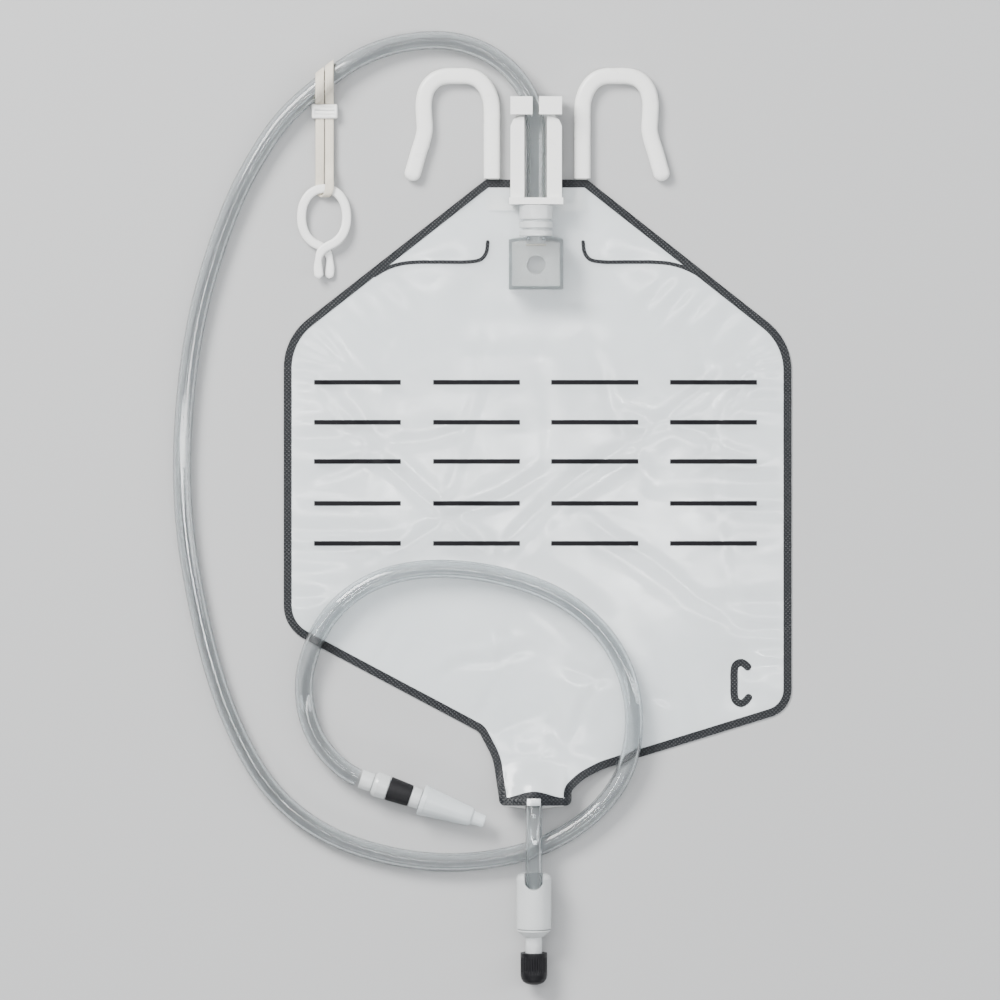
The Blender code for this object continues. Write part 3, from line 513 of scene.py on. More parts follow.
def spline(route, step=None, count=None):
    """Evenly spaced points on a centripetal spline through the route's points."""
    route = np.asarray(route, float)
    ends = [2 * route[0] - route[1], *route, 2 * route[-1] - route[-2]]
    fine = []
    for p0, p1, p2, p3 in zip(ends, ends[1:], ends[2:], ends[3:]):
        k = [0.0]
        for a, b in ((p0, p1), (p1, p2), (p2, p3)):
            k.append(k[-1] + math.sqrt(np.linalg.norm(b - a)))
        for t in np.linspace(k[1], k[2], 16, endpoint=False):
            a1 = (k[1] - t) / (k[1] - k[0]) * p0 + (t - k[0]) / (k[1] - k[0]) * p1
            a2 = (k[2] - t) / (k[2] - k[1]) * p1 + (t - k[1]) / (k[2] - k[1]) * p2
            a3 = (k[3] - t) / (k[3] - k[2]) * p2 + (t - k[2]) / (k[3] - k[2]) * p3
            b1 = (k[2] - t) / (k[2] - k[0]) * a1 + (t - k[0]) / (k[2] - k[0]) * a2
            b2 = (k[3] - t) / (k[3] - k[1]) * a2 + (t - k[1]) / (k[3] - k[1]) * a3
            fine.append((k[2] - t) / (k[2] - k[1]) * b1 + (t - k[1]) / (k[2] - k[1]) * b2)
    fine = np.array([*fine, route[-1]])
    along = np.concatenate([[0], np.cumsum(np.linalg.norm(np.diff(fine, axis=0), axis=1))])
    if count is None:
        count = max(2, int(round(along[-1] / step)) + 1)
    return np.stack([np.interp(np.linspace(0, along[-1], count), along, fine[:, i]) for i in range(fine.shape[1])], axis=1)


def smoothed(points, rounds):
    """Evens out a polyline's bends, its ends held."""
    points = points.copy()
    for _ in range(rounds):
        points[1:-1] = points[1:-1] * 0.5 + (points[:-2] + points[2:]) * 0.25
    return points


def ease(t):
    t = np.clip(t, 0.0, 1.0)
    return t * t * (3 - 2 * t)


# ======================================================== the bag's dimensions
SEAM_W, FILM_T = 3.6, 0.35
BULGE, BULGE_LENGTH, STEP_UP = 4.4, 16.0, 1.3
RIM = [
    (21.7, 153.7, 1.5), (-22.9, 153.7, 1.5), (-112.6, 83.4, 26.0),
    (-112.6, -45.3, 15.0), (-25.2, -91.7, 8.0), (-18.4, -104.6, 26.0),
    (-15.5, -124.4, 0.8), (13.4, -124.4, 0.8), (13.4, -118.75, 6.0),
    (19.2, -113.0, 25.0), (28.9, -108.0, 30.0), (112.4, -82.2, 11.0),
    (112.4, 82.2, 26.0),
]
LIFT_START, LIFT_RAMP, LIFT_ANGLE = -86.0, 26.0, math.radians(17.0)
INLET_X, INLET_Z, OUTLET_X = -0.8, 10.6, -1.8
PORT_Y, PORT_HALF_W, PORT_HALF_T, PORT_EDGE_T, PORT_ROOM = -123.8, 13.4, 5.0, 0.5, 0.8
TUBE_R, TUBE_BORE = 4.1, 2.9
TUBE_ROUTE = [
    (-0.8, 137.5, 10.6), (-0.8, 150.0, 10.6), (-0.8, 164.0, 10.6),
    (-0.8, 175.0, 10.6), (-1.1, 183.2, 10.6), (-3.0, 191.3, 10.3),
    (-7.5, 198.9, 9.6), (-12.9, 205.3, 8.3), (-19.7, 210.8, 6.9),
    (-27.3, 214.7, 5.6), (-35.9, 217.4, 4.8), (-44.9, 218.3, 4.4),
    (-62.9, 216.5, 4.4), (-80.0, 210.4, 5.0), (-95.7, 199.8, 5.9),
    (-114.2, 183.2, 5.0), (-124.5, 168.8, 4.4), (-134.4, 150.8, 4.4),
    (-143.4, 128.3, 4.4), (-151.5, 101.3, 4.4), (-156.4, 76.0, 4.4),
    (-159.4, 47.3, 4.4), (-160.1, 20.0, 4.4), (-158.3, -6.0, 4.4),
    (-154.4, -30.0, 4.4), (-148.6, -56.0, 4.4), (-140.6, -81.5, 4.4),
    (-129.9, -104.4, 4.4), (-119.8, -119.3, 4.4), (-106.3, -131.9, 4.4),
    (-90.3, -141.3, 4.4), (-72.8, -147.3, 4.4), (-55.2, -150.8, 4.4),
    (-36.8, -151.8, 4.4), (-18.8, -150.1, 4.4), (-1.7, -145.8, 4.4),
    (14.5, -137.9, 4.6), (28.9, -126.2, 5.2), (39.3, -110.7, 6.6),
    (43.3, -92.7, 8.2), (42.0, -74.7, 9.3), (36.1, -58.5, 9.8),
    (26.2, -45.0, 9.9), (12.7, -34.2, 9.9), (-3.0, -26.8, 9.9),
    (-20.1, -22.1, 9.9), (-38.1, -19.8, 9.9), (-55.7, -20.3, 9.9),
    (-73.7, -25.2, 9.4), (-88.8, -35.3, 8.4), (-99.3, -49.5, 6.6),
    (-105.0, -67.1, 5.2), (-105.3, -76.3, 4.8), (-104.0, -85.5, 4.8),
    (-100.9, -94.1, 5.2), (-96.2, -101.4, 5.9), (-90.2, -107.7, 6.6),
    (-84.6, -112.3, 7.1), (-81.0, -113.65, 7.2),
]
CONNECTOR_START = (-80.0, -114.0, 7.2)
CONNECTOR_AIM = (math.cos(math.radians(-19.0)), math.sin(math.radians(-19.0)), 0.0)
VALVE_START = (OUTLET_X, -157.0, 11.75)
VALVE_AIM = (0.0, -math.cos(math.radians(5.0)), -math.sin(math.radians(5.0)))


def rounded_outline(corners, step, arc):
    out = []
    n = len(corners)
    for i, (x, y, r) in enumerate(corners):
        p = np.array((x, y))
        before = np.array(corners[i - 1][:2]) - p
        after = np.array(corners[(i + 1) % n][:2]) - p
        before, after = before / np.linalg.norm(before), after / np.linalg.norm(after)
        half = math.acos(float(before @ after)) / 2
        reach = r / math.tan(half)
        middle = p + (before + after) / np.linalg.norm(before + after) * r / math.sin(half)
        first, last = p + before * reach, p + after * reach
        swept = math.pi - 2 * half
        count = max(2, round(swept / arc))
        a = first - middle
        turn = math.copysign(swept, a[0] * (last - middle)[1] - a[1] * (last - middle)[0])
        for k in range(count + 1):
            c, s = math.cos(turn * k / count), math.sin(turn * k / count)
            out.append(middle + (a[0] * c - a[1] * s, a[0] * s + a[1] * c))
    full = []
    for i, p in enumerate(out):
        q = out[(i + 1) % len(out)]
        pieces = max(1, math.ceil(np.linalg.norm(q - p) / step))
        full.extend(p + (q - p) * k / pieces for k in range(pieces))
    return np.array(full)


def offset(outline, distance):
    outline = np.asarray(outline, float)
    before = outline - np.roll(outline, 1, axis=0)
    after = np.roll(outline, -1, axis=0) - outline
    before /= np.linalg.norm(before, axis=1)[:, None]
    after /= np.linalg.norm(after, axis=1)[:, None]
    n1 = np.stack([before[:, 1], -before[:, 0]], axis=1)
    n2 = np.stack([after[:, 1], -after[:, 0]], axis=1)
    mitre = (n1 + n2) / (1 + (n1 * n2).sum(axis=1))[:, None]
    return outline + mitre * distance


def to_line(points, line, closed=False):
    """Distance from each point to a polyline, and the place along it."""
    line = np.asarray(line, float)
    a = line if closed else line[:-1]
    b = np.roll(line, -1, axis=0) if closed else line[1:]
    starts = np.concatenate([[0], np.cumsum(np.linalg.norm(b - a, axis=1))])[:-1]
    best = np.full(len(points), 1e9)
    place = np.zeros(len(points))
    for i in range(len(a)):
        d = b[i] - a[i]
        size = float(d @ d)
        t = np.clip(((points - a[i]) @ d) / max(size, 1e-12), 0, 1)
        dist = np.linalg.norm(points - (a[i] + t[:, None] * d), axis=1)
        better = dist < best
        best[better] = dist[better]
        place[better] = (starts[i] + t * math.sqrt(size))[better]
    return best, place


def inside_of(points, polygon):
    x, y = points[:, 0], points[:, 1]
    hit = np.zeros(len(points), bool)
    n = len(polygon)
    for i in range(n):
        x1, y1 = polygon[i]
        x2, y2 = polygon[(i + 1) % n]
        if y1 == y2:
            continue
        cross = ((y1 > y) != (y2 > y)) & (x < (x2 - x1) * (y - y1) / (y2 - y1) + x1)
        hit ^= cross
    return hit


def strip(line, width):
    """The outline of a band of this width along a polyline, with round ends."""
    line = np.asarray(line, float)
    t = tangents(line)
    n = np.stack([-t[:, 1], t[:, 0]], axis=1) * width / 2
    out = list(line + n)
    for end, first in ((-1, math.pi / 2), (0, -math.pi / 2)):
        c, d = line[end], t[end]
        for k in range(1, 6):
            a = first - math.pi * k / 6
            e = np.array((math.cos(a) * d[0] - math.sin(a) * d[1], math.sin(a) * d[0] + math.cos(a) * d[1]))
            out.append(c + e * width / 2)
        if end == -1:
            out.extend((line - n)[::-1])
    return np.array(out)


RIM_LINE = rounded_outline(RIM, 2.2, math.radians(5))
OUTER = offset(RIM_LINE, SEAM_W / 2)
INNER = offset(RIM_LINE, -SEAM_W / 2)
TUBE = smoothed(spline(TUBE_ROUTE, step=1.9), 10)

# inner welds: two thin curved lines beside the valve box, one hook-shaped mark
LINE_LEFT = spline([(-73.4, 112.4), (-69.4, 114.8), (-65.0, 116.7), (-60.4, 117.8), (-54.0, 118.35), (-43.0, 118.4), (-30.5, 118.5), (-25.5, 119.6), (-23.2, 122.6), (-22.5, 127.4)], step=1.4)
LINE_RIGHT = spline([(20.4, 127.4), (21.1, 122.6), (23.4, 119.6), (28.4, 118.5), (41.0, 118.4), (53.5, 118.3), (60.0, 117.6), (66.2, 115.8), (71.5, 113.2)], step=1.4)
HOOK_MARK = spline([(94.5, -63.9), (93.3, -62.7), (91.4, -61.9), (89.0, -63.3), (88.4, -66.5), (88.4, -71.0), (88.4, -75.5), (89.0, -78.8), (91.4, -80.4), (93.6, -79.3), (94.9, -77.7)], step=1.1)
DASH_X = [(-100.7, -61.6), (-47.1, -8.0), (6.0, 45.3), (59.5, 98.7)]
DASH_Y = [64.2, 46.2, 28.6, 9.7, -8.3]
DASH_H = 2.2


def lift(p):
    down = np.maximum(LIFT_START - p[:, 1], 0.0)
    slope = math.tan(LIFT_ANGLE)
    height = np.where(down < LIFT_RAMP, slope * down * down / (2 * LIFT_RAMP), slope * (down - LIFT_RAMP / 2))
    return height * (1 - ease((np.abs(p[:, 0] - OUTLET_X) - 20) / 30))


def top_stiffness(p):
    """1 over the hanger's flange and the valve box, 0 on the loose film."""
    beside = np.hypot(np.maximum(np.abs(p[:, 0] - INLET_X) - 24, 0), np.maximum(100 - p[:, 1], 0))
    return 1 - ease(beside / 24)


def foot_stiffness(p):
    """1 over the outlet fitment, 0 beside and above it."""
    side = 1 - ease((np.abs(p[:, 0] - OUTLET_X) - PORT_HALF_W - 0.1) / 1.9)
    return side * (1 - ease((p[:, 1] + 118.5) / 13.0))


def swell(p):
    """How far each film stands off to pass round the outlet fitment."""
    x = p[:, 0] - OUTLET_X
    boat = PORT_EDGE_T + (PORT_HALF_T - PORT_EDGE_T) * ease(1 - np.abs(x) / PORT_HALF_W)
    half = boat / math.cos(LIFT_ANGLE) + 0.3
    return np.maximum(half - PORT_ROOM, 0.0) * (1 - ease((p[:, 1] + 118.5) / 14.5))


def noise_at(p, scale, seed):
    return np.array([noise.noise(Vector((x * scale + seed * 17.3, y * scale - seed * 9.1, seed * 3.7))) for x, y in p])


def front_top(p):
    """Height of the front film's upper face, in millimetres."""
    to_rim, along = to_line(p, INNER, closed=True)
    within = inside_of(p, INNER)
    d = np.where(within, to_rim, 0.0)
    top_stiff, foot_stiff = top_stiffness(p), foot_stiffness(p)
    near_foot = 1 - ease((p[:, 1] + 112) / 14)
    stiff = np.maximum(top_stiff, near_foot)
    # pull of the inner welds
    pull = np.ones(len(p))
    for line, half, reach in ((LINE_LEFT, 0.8, 9.0), (LINE_RIGHT, 0.8, 9.0), (HOOK_MARK, 1.8, 8.0)):
        gap = np.maximum(to_line(p, line)[0] - half, 0.0)
        pull = np.minimum(pull, 1 - np.exp(-((gap / reach) ** 1.3)))
    free = BULGE * (1 - np.exp(-d / BULGE_LENGTH)) * (1 - stiff)
    step = np.maximum(STEP_UP * top_stiff, (STEP_UP + 0.12) * foot_stiff) + 0.9 * near_foot * (1 - foot_stiff) * (1 - np.exp(-d / 5.0)) + swell(p)
    to_tube, _ = to_line(p, TUBE[:, :2])
    tube_near = np.exp(-((to_tube / 13.0) ** 2))
    calm = (1 - 0.9 * stiff) * ease((to_tube - 3.0) / 12.0)

    # puckers that run in from the rim, of uneven pitch
    phase = 2 * math.pi * along / 12.5 + 3.1 * np.sin(along / 23.0) + 2.1 * np.sin(along / 10.3 + 1.0)
    size = 0.15 + 0.95 * ease(0.5 + 1.1 * np.array([noise.noise(Vector((a / 19.0, 3.3, 7.1))) for a in along]))
    reach = 7.0 + 5.0 * np.sin(along / 17.0) ** 2
    pucker = size * (0.5 - 0.5 * np.cos(phase)) ** 1.5 * (d / reach) * np.exp(1 - d / reach)
    # long soft folds
    folds = np.zeros(len(p))
    for x0, y0, x1, y1, wide, deep in FOLDS:
        a, b = np.array((x0, y0)), np.array((x1, y1))
        axis = b - a
        size_ = np.linalg.norm(axis)
        axis = axis / size_
        t = (p - a) @ axis / size_
        wander = 2.2 * np.sin(t * 5.0 + x0) + 1.0 * np.sin(t * 13.0 + y0)
        side = (p - a) @ np.array((-axis[1], axis[0])) - wander
        fade = ease(t / 0.18) * ease((1 - t) / 0.18)
        folds += deep * fade * (np.exp(-((side / wide) ** 2)) - 0.45 * np.exp(-(((side - 2.1 * wide) / (1.3 * wide)) ** 2)))
    drift = 0.35 * noise_at(p, 0.021, 3) + 0.16 * noise_at(p, 0.06, 5)
    base = 0.72 + free * pull + step
    loose = np.minimum(1.0, d / 14.0)
    down = (0.85 * pucker + np.maximum(folds, -0.3) * loose + (0.35 + drift) * loose) * calm * pull
    z = base - down + 0.45 * tube_near * loose * (1 - stiff)
    # nothing stands above the tube's underside where it lies on the film
    spots, _ = nearest_height(p)
    z = np.minimum(z, spots - TUBE_R + to_tube**2 / (2 * TUBE_R) - 0.04)
    return np.maximum(z, 0.74 - 0.0 * z) + lift(p)


def nearest_height(p):
    """The tube's height at its nearest spot to each point."""
    _, along = to_line(p, TUBE[:, :2])
    steps = np.concatenate([[0], np.cumsum(np.linalg.norm(np.diff(TUBE[:, :2], axis=0), axis=1))])
    return np.interp(along, steps, TUBE[:, 2]) - lift(p), along


FOLDS = [
    (-104, 70, 20, -60, 2.6, 0.75), (96, 78, -30, -20, 2.9, 0.70), (-60, 96, -86, -34, 3.2, 0.5),
    (70, 92, 92, -58, 3.0, 0.55), (-20, 92, -46, 0, 2.2, 0.5), (22, 92, 50, 12, 2.4, 0.5),
    (-108, 20, -30, 44, 2.4, 0.45), (108, 30, 30, 52, 2.6, 0.45), (-88, -30, 10, 30, 2.8, 0.6),
    (104, -60, 20, 10, 3.0, 0.65), (66, -84, 10, -60, 2.6, 0.6), (14, -104, 36, -40, 2.2, 0.6),
    (-6, -108, -20, -44, 2.2, 0.6), (-50, -72, 0, -52, 2.4, 0.5), (-104, 74, -70, 20, 1.8, 0.5),
    (104, 74, 66, 24, 1.8, 0.5), (0, 90, 6, -20, 3.6, 0.4),
]


# ================================================================= film sheets
def film_mesh(name, height, thickness, spacing, mats, hole=None, regions=(), lines=()):
    """A closed sheet over the bag's outline. regions: (material index, polygon)."""
    loops = [OUTER, INNER]
    if hole is not None:
        loops.append(hole)
    loops += [poly for _, poly in regions]
    points, edges = [], []
    for loop in loops:
        start = len(points)
        points.extend(map(tuple, loop))
        edges.extend((start + i, start + (i + 1) % len(loop)) for i in range(len(loop)))
    fixed = np.array(points)
    # a second and third row inside the rim, where the film turns up from the weld
    for inset, pick in ((1.0, 1), (2.2, 1)):
        points.extend(map(tuple, offset(INNER, -inset)[::pick]))
    low, high = OUTER.min(axis=0), OUTER.max(axis=0)
    grid = []
    y = low[1]
    row = 0
    while y < high[1]:
        x = low[0] + (spacing / 2 if row % 2 else 0)
        while x < high[0]:
            grid.append((x, y))
            x += spacing
        y += spacing * 0.866
        row += 1
    grid = np.array(grid)
    grid = grid[inside_of(grid, offset(INNER, -2.9))]
    keep = np.ones(len(grid), bool)
    for loop in loops[2:]:
        keep &= to_line(grid, loop, closed=True)[0] > spacing * 0.45
    points.extend(map(tuple, grid[keep]))
    # close rows where the films pass round the outlet fitment
    xs, ys = np.meshgrid(np.arange(-18.0, 15.0, 1.1), np.arange(-126.6, -103.0, 1.0))
    close = np.column_stack([xs.ravel(), ys.ravel()]) + (0.0, 0.13)
    close = close[inside_of(close, offset(OUTER, -0.7))]
    keep = np.ones(len(close), bool)
    for loop in loops:
        keep &= to_line(close, loop, closed=True)[0] > 0.45
    points.extend(map(tuple, close[keep]))
    out = delaunay_2d_cdt([Vector(p) for p in points], edges, [], 0, 1e-5)
    co = np.array([tuple(v) for v in out[0]])
    tris = np.array(out[2], int)
    centre = co[tris].mean(axis=1)
    ok = inside_of(centre, OUTER)
    if hole is not None:
        ok &= ~inside_of(centre, hole)
    tris, centre = tris[ok], centre[ok]
    used, tris_flat = np.unique(tris, return_inverse=True)
    tris = tris_flat.reshape(-1, 3)
    co = co[used]
    kind = np.zeros(len(tris), int)
    kind[~inside_of(centre, INNER)] = 1
    for index, poly in regions:
        kind[inside_of(centre, poly)] = index
    top = height(co)
    low_z = top - thickness
    mesh_co = np.concatenate([np.column_stack([co, top]), np.column_stack([co, low_z])]) * MM
    n = len(co)
    a, b, c = tris[:, 0], tris[:, 1], tris[:, 2]
    area = (co[b, 0] - co[a, 0]) * (co[c, 1] - co[a, 1]) - (co[b, 1] - co[a, 1]) * (co[c, 0] - co[a, 0])
    flip = area < 0
    tris[flip] = tris[flip][:, ::-1]
    faces = [tuple(map(int, t)) for t in tris] + [tuple(int(i) + n for i in t[::-1]) for t in tris]
    kinds = list(kind) + [0 if k == 2 else k for k in kind]
    counts = {}
    for t in tris:
        for i in range(3):
            e = (int(t[i]), int(t[(i + 1) % 3]))
            counts[e] = counts.get(e, 0) + 1
    for (i, j) in list(counts):
        if (j, i) not in counts:
            faces.append((i, i + n, j + n, j))
            kinds.append(1)
    mesh = bpy.data.meshes.new(name)
    mesh.from_pydata([tuple(v) for v in mesh_co], [], faces)
    mesh.update()
    for mat in mats:
        mesh.materials.append(mat)
    mesh.polygons.foreach_set("material_index", np.array(kinds, np.int32))
    mesh.shade_smooth()
    mesh.set_sharp_from_angle(angle=math.radians(50))
    obj = bpy.data.objects.new(name, mesh)
    bpy.context.scene.collection.objects.link(obj)
    return obj


def rear_top(p):
    wave = 0.05 * noise_at(p, 0.03, 11)
    return 0.36 + lift(p) + np.maximum(wave, 0.0) - swell(p)


def make_films(paint):
    circle = np.array([(INLET_X + 4.8 * math.cos(a), 117.0 + 4.8 * math.sin(a)) for a in np.linspace(0, 2 * math.pi, 40, endpoint=False)])
    regions = [(1, strip(LINE_LEFT, 1.7)), (1, strip(LINE_RIGHT, 1.7)), (1, strip(HOOK_MARK, 3.4))]
    # the weld stands higher over the middle of the outlet fitment
    across = np.linspace(-13.6, 13.2, 24)
    crown = [(OUTLET_X + x, -122.75 + 2.9 * float(ease(np.array(1 - abs(x) / 14.0)))) for x in across]
    regions.append((1, np.array([(OUTLET_X + across[0], -123.4), (OUTLET_X + across[-1], -123.4)] + crown[::-1])))
    # the film stays clear in front of the outlet tube
    regions.append((0, np.array([(OUTLET_X - 3.1, -127.0), (OUTLET_X + 3.1, -127.0), (OUTLET_X + 3.1, -123.0), (OUTLET_X - 3.1, -123.0)])))
    for y in DASH_Y:
        for x0, x1 in DASH_X:
            n = 22
            xs = np.linspace(x0, x1, n)
            regions.append((2, np.array([(x, y - DASH_H / 2) for x in xs] + [(x, y + DASH_H / 2) for x in xs[::-1]])))
    front = film_mesh("bag_front_film", front_top, FILM_T, 2.1, [paint["film"], paint["weld"], paint["ink"]], circle, regions)
    rear = film_mesh("bag_rear_film", rear_top, 0.34, 4.5, [paint["rear"], paint["weld"]])
    for obj, node, slot in ((front, "front_film", "clear_film"), (rear, "rear_film", "white_film")):
        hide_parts(node)
        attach(obj, "bag")
    # flat area of the outline, by the shoelace rule
    x, y = OUTER[:, 0] * MM, OUTER[:, 1] * MM
    area = 0.5 * abs(float(np.dot(x, np.roll(y, -1)) - np.dot(y, np.roll(x, -1))))
    return front, rear, area


# ====================================================================== pieces
def finish_piece(obj, node, body):
    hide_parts(node)
    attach(obj, body)
    return obj


def make_hanger(paint):
    mid = -0.3
    hook = [
        (20.4, 156.0), (20.4, 160.0), (20.4, 170.0), (20.4, 180.0), (20.4, 186.0), (20.9, 191.6), (23.1, 196.9), (26.6, 200.6),
        (31.2, 202.1), (36.0, 202.1), (40.6, 202.1), (45.6, 200.6), (49.4, 196.6), (51.0, 190.8),
        (50.9, 184.0), (50.6, 177.8), (51.6, 173.0), (53.1, 168.4), (55.2, 161.0), (57.0, 154.9),
    ]
    width, thick = 7.4, 5.4
    line = smoothed(spline([(x, y, thick / 2) for x, y in hook], step=0.8), 4)
    base = superellipse(width, thick, 3.0, 36)
    along = np.concatenate([[0], np.cumsum(np.linalg.norm(np.diff(line, axis=0), axis=1))])
    # the free end is a dome, so its rows close up towards the tip
    dome = 3.6
    turn = np.linspace(0.0, math.pi / 2, 13)
    stations = np.concatenate([along[along < along[-1] - dome - 0.3], along[-1] - dome * (1 - np.sin(turn))])
    line = np.stack([np.interp(stations, along, line[:, k]) for k in range(3)], axis=1)
    t = tangents(line)
    sections = []
    for r in stations[-1] - stations:
        k = math.sqrt(max(4e-4, 1 - (1 - min(r / dome, 1.0)) ** 2))
        sections.append([(a * k, b * k ** 0.75) for a, b in base])
    shapes = []
    for side in (1, -1):
        mirror = np.array((side, 1, 1))
        across = np.stack([t[:, 1], -t[:, 0], 0 * t[:, 0]], axis=1) * mirror
        ups = np.tile((0.0, 0.0, 1.0), (len(line), 1))
        shapes.append(sweep("hook", line * mirror + (mid, 0, 0), across, ups, sections, paint["white"]))
    flange = [
        (mid - 22.2, 141.5), (mid + 22.2, 141.5), (mid + 22.2, 159.5), (mid + 17.2, 159.5), (mid + 17.2, 155.3),
        (10.0, 155.3), (10.0, 161.0), (-11.3, 161.0), (-11.3, 155.3),
        (mid - 17.2, 155.3), (mid - 17.2, 159.5), (mid - 22.2, 159.5),
    ]
    plate = prism("hanger_moulding", flange, 0.66, 1.65, paint["white"], bevel=0.25, segments=2)
    shapes.append(block("lug", (-11.2, 9.9), (155.9, 160.9), (0.02, 3.4), paint["white"], bevel=0.4))
    # stiffening webs between each hook and its stem
    for side in (1, -1):
        x = mid + side * 20.4
        shapes.append(block("web", (x - 3.1, x + 3.1), (155.95, 158.0), (0.05, 5.0), paint["white"], bevel=0.5))
    pegs = [rod("peg", 1.4, (x, 158.4, 2.0), (x, 158.4, 6.4), 24, paint["white"]) for x in (-8.6, 7.0)]
    return finish_piece(combined(plate, [*shapes, *pegs]), "hanger", "bag")


def make_inlet(paint):
    holder = refined("tube_holder", "tube_holder_moulding", paint["white"], bevel=0.45)
    finish_piece(holder, "tube_holder", "bag")
    neck_profile = [
        (4.4, 0.0), (7.1, 0.0), (7.5, 0.4), (7.5, 6.4), (6.1, 6.5), (6.1, 7.5),
        (7.5, 7.6), (7.5, 10.3), (6.1, 10.4), (6.1, 11.4), (7.5, 11.5), (7.5, 14.0),
        (4.2, 14.0), (4.2, 17.2), (2.9, 17.2), (2.9, 6.9), (4.4, 6.9),
    ]
    neck = turned("inlet_neck_moulding", neck_profile, paint["milky"], (INLET_X, 143.9, INLET_Z), (0, -1, 0), radius=0.3, sides=112)
    finish_piece(neck, "inlet_neck", "bag")
    housing = refined("valve_housing", "valve_box_shell", paint["box"], bevel=0.6, segments=4)
    finish_piece(housing, "valve_housing", "bag")
    plate = refined("valve_back_plate", "valve_box_plate", paint["white"], bevel=0.25, segments=2)
    finish_piece(plate, "valve_back_plate", "bag")
    flap = refined("anti_reflux_flap", "reflux_flap_rubber", paint["strap"], bevel=0.2, segments=2)
    finish_piece(flap, "anti_reflux_flap", "reflux_flap")


def make_tube(paint):
    body = hose("drainage_tube", TUBE, TUBE_R, TUBE_BORE, paint["tube"], sides=40)
    finish_piece(body, "inlet_tube", "bag")
    return body


def make_connector(paint):
    at, aim = CONNECTOR_START, CONNECTOR_AIM
    collar = turned("tube_end_collar", [(2.7, 0.3), (4.3, 0.3), (4.35, 1.0), (4.35, 5.2), (4.3, 6.0), (2.7, 6.0)], paint["milky"], at, aim, radius=0.3)
    finish_piece(collar, "tube_collar", "bag")
    body = turned("connector_moulding", [
        (1.6, 1.0), (2.4, 1.0), (2.4, 6.3), (4.4, 6.3), (5.4, 7.0), (5.8, 8.2),
        (5.5, 13.3), (3.9, 13.3), (3.9, 24.3), (4.8, 24.3), (4.7, 28.7),
        (4.0, 28.7), (2.7, 43.0), (1.6, 43.0),
    ], paint["milky"], at, aim, radius=0.4)
    finish_piece(body, "connector_body", "bag")

    def ribbed(r, s, a):
        return r

    sleeve = turned("sampling_sleeve", [(4.2, 13.6), (5.45, 13.6), (5.4, 15.0), (4.98, 22.6), (4.85, 24.0), (4.2, 24.0)], paint["rubber"], at, aim, radius=0.3)
    finish_piece(sleeve, "sample_sleeve", "bag")

    def fluted(r, s, a):
        if r > 3.4 and 31.5 < s < 50.5:
            return r - 0.22 * (0.5 + 0.5 * math.cos(24 * a)) ** 2 * min(1.0, (s - 31.5) / 2.0, (50.5 - s) / 2.0)
        return r

    profile = [(0.0, 50.5), (3.0, 50.5), (5.6, 29.0), (7.1, 29.0), (7.1, 31.2), (6.9, 31.6)]
    profile += [(6.9 - (6.9 - 4.4) * k / 12, 31.6 + (52.0 - 31.6) * k / 12) for k in range(1, 13)]
    profile += [(4.2, 52.9), (3.2, 53.8), (2.9, 59.0), (2.6, 59.4), (0.0, 59.4)]
    cap = turned("nozzle_cap_moulding", profile, paint["cap"], at, aim, radius=0.3, sides=144)
    finish_piece(cap, "connector_cap", "nozzle_cap")
    return [collar, body, sleeve, cap]


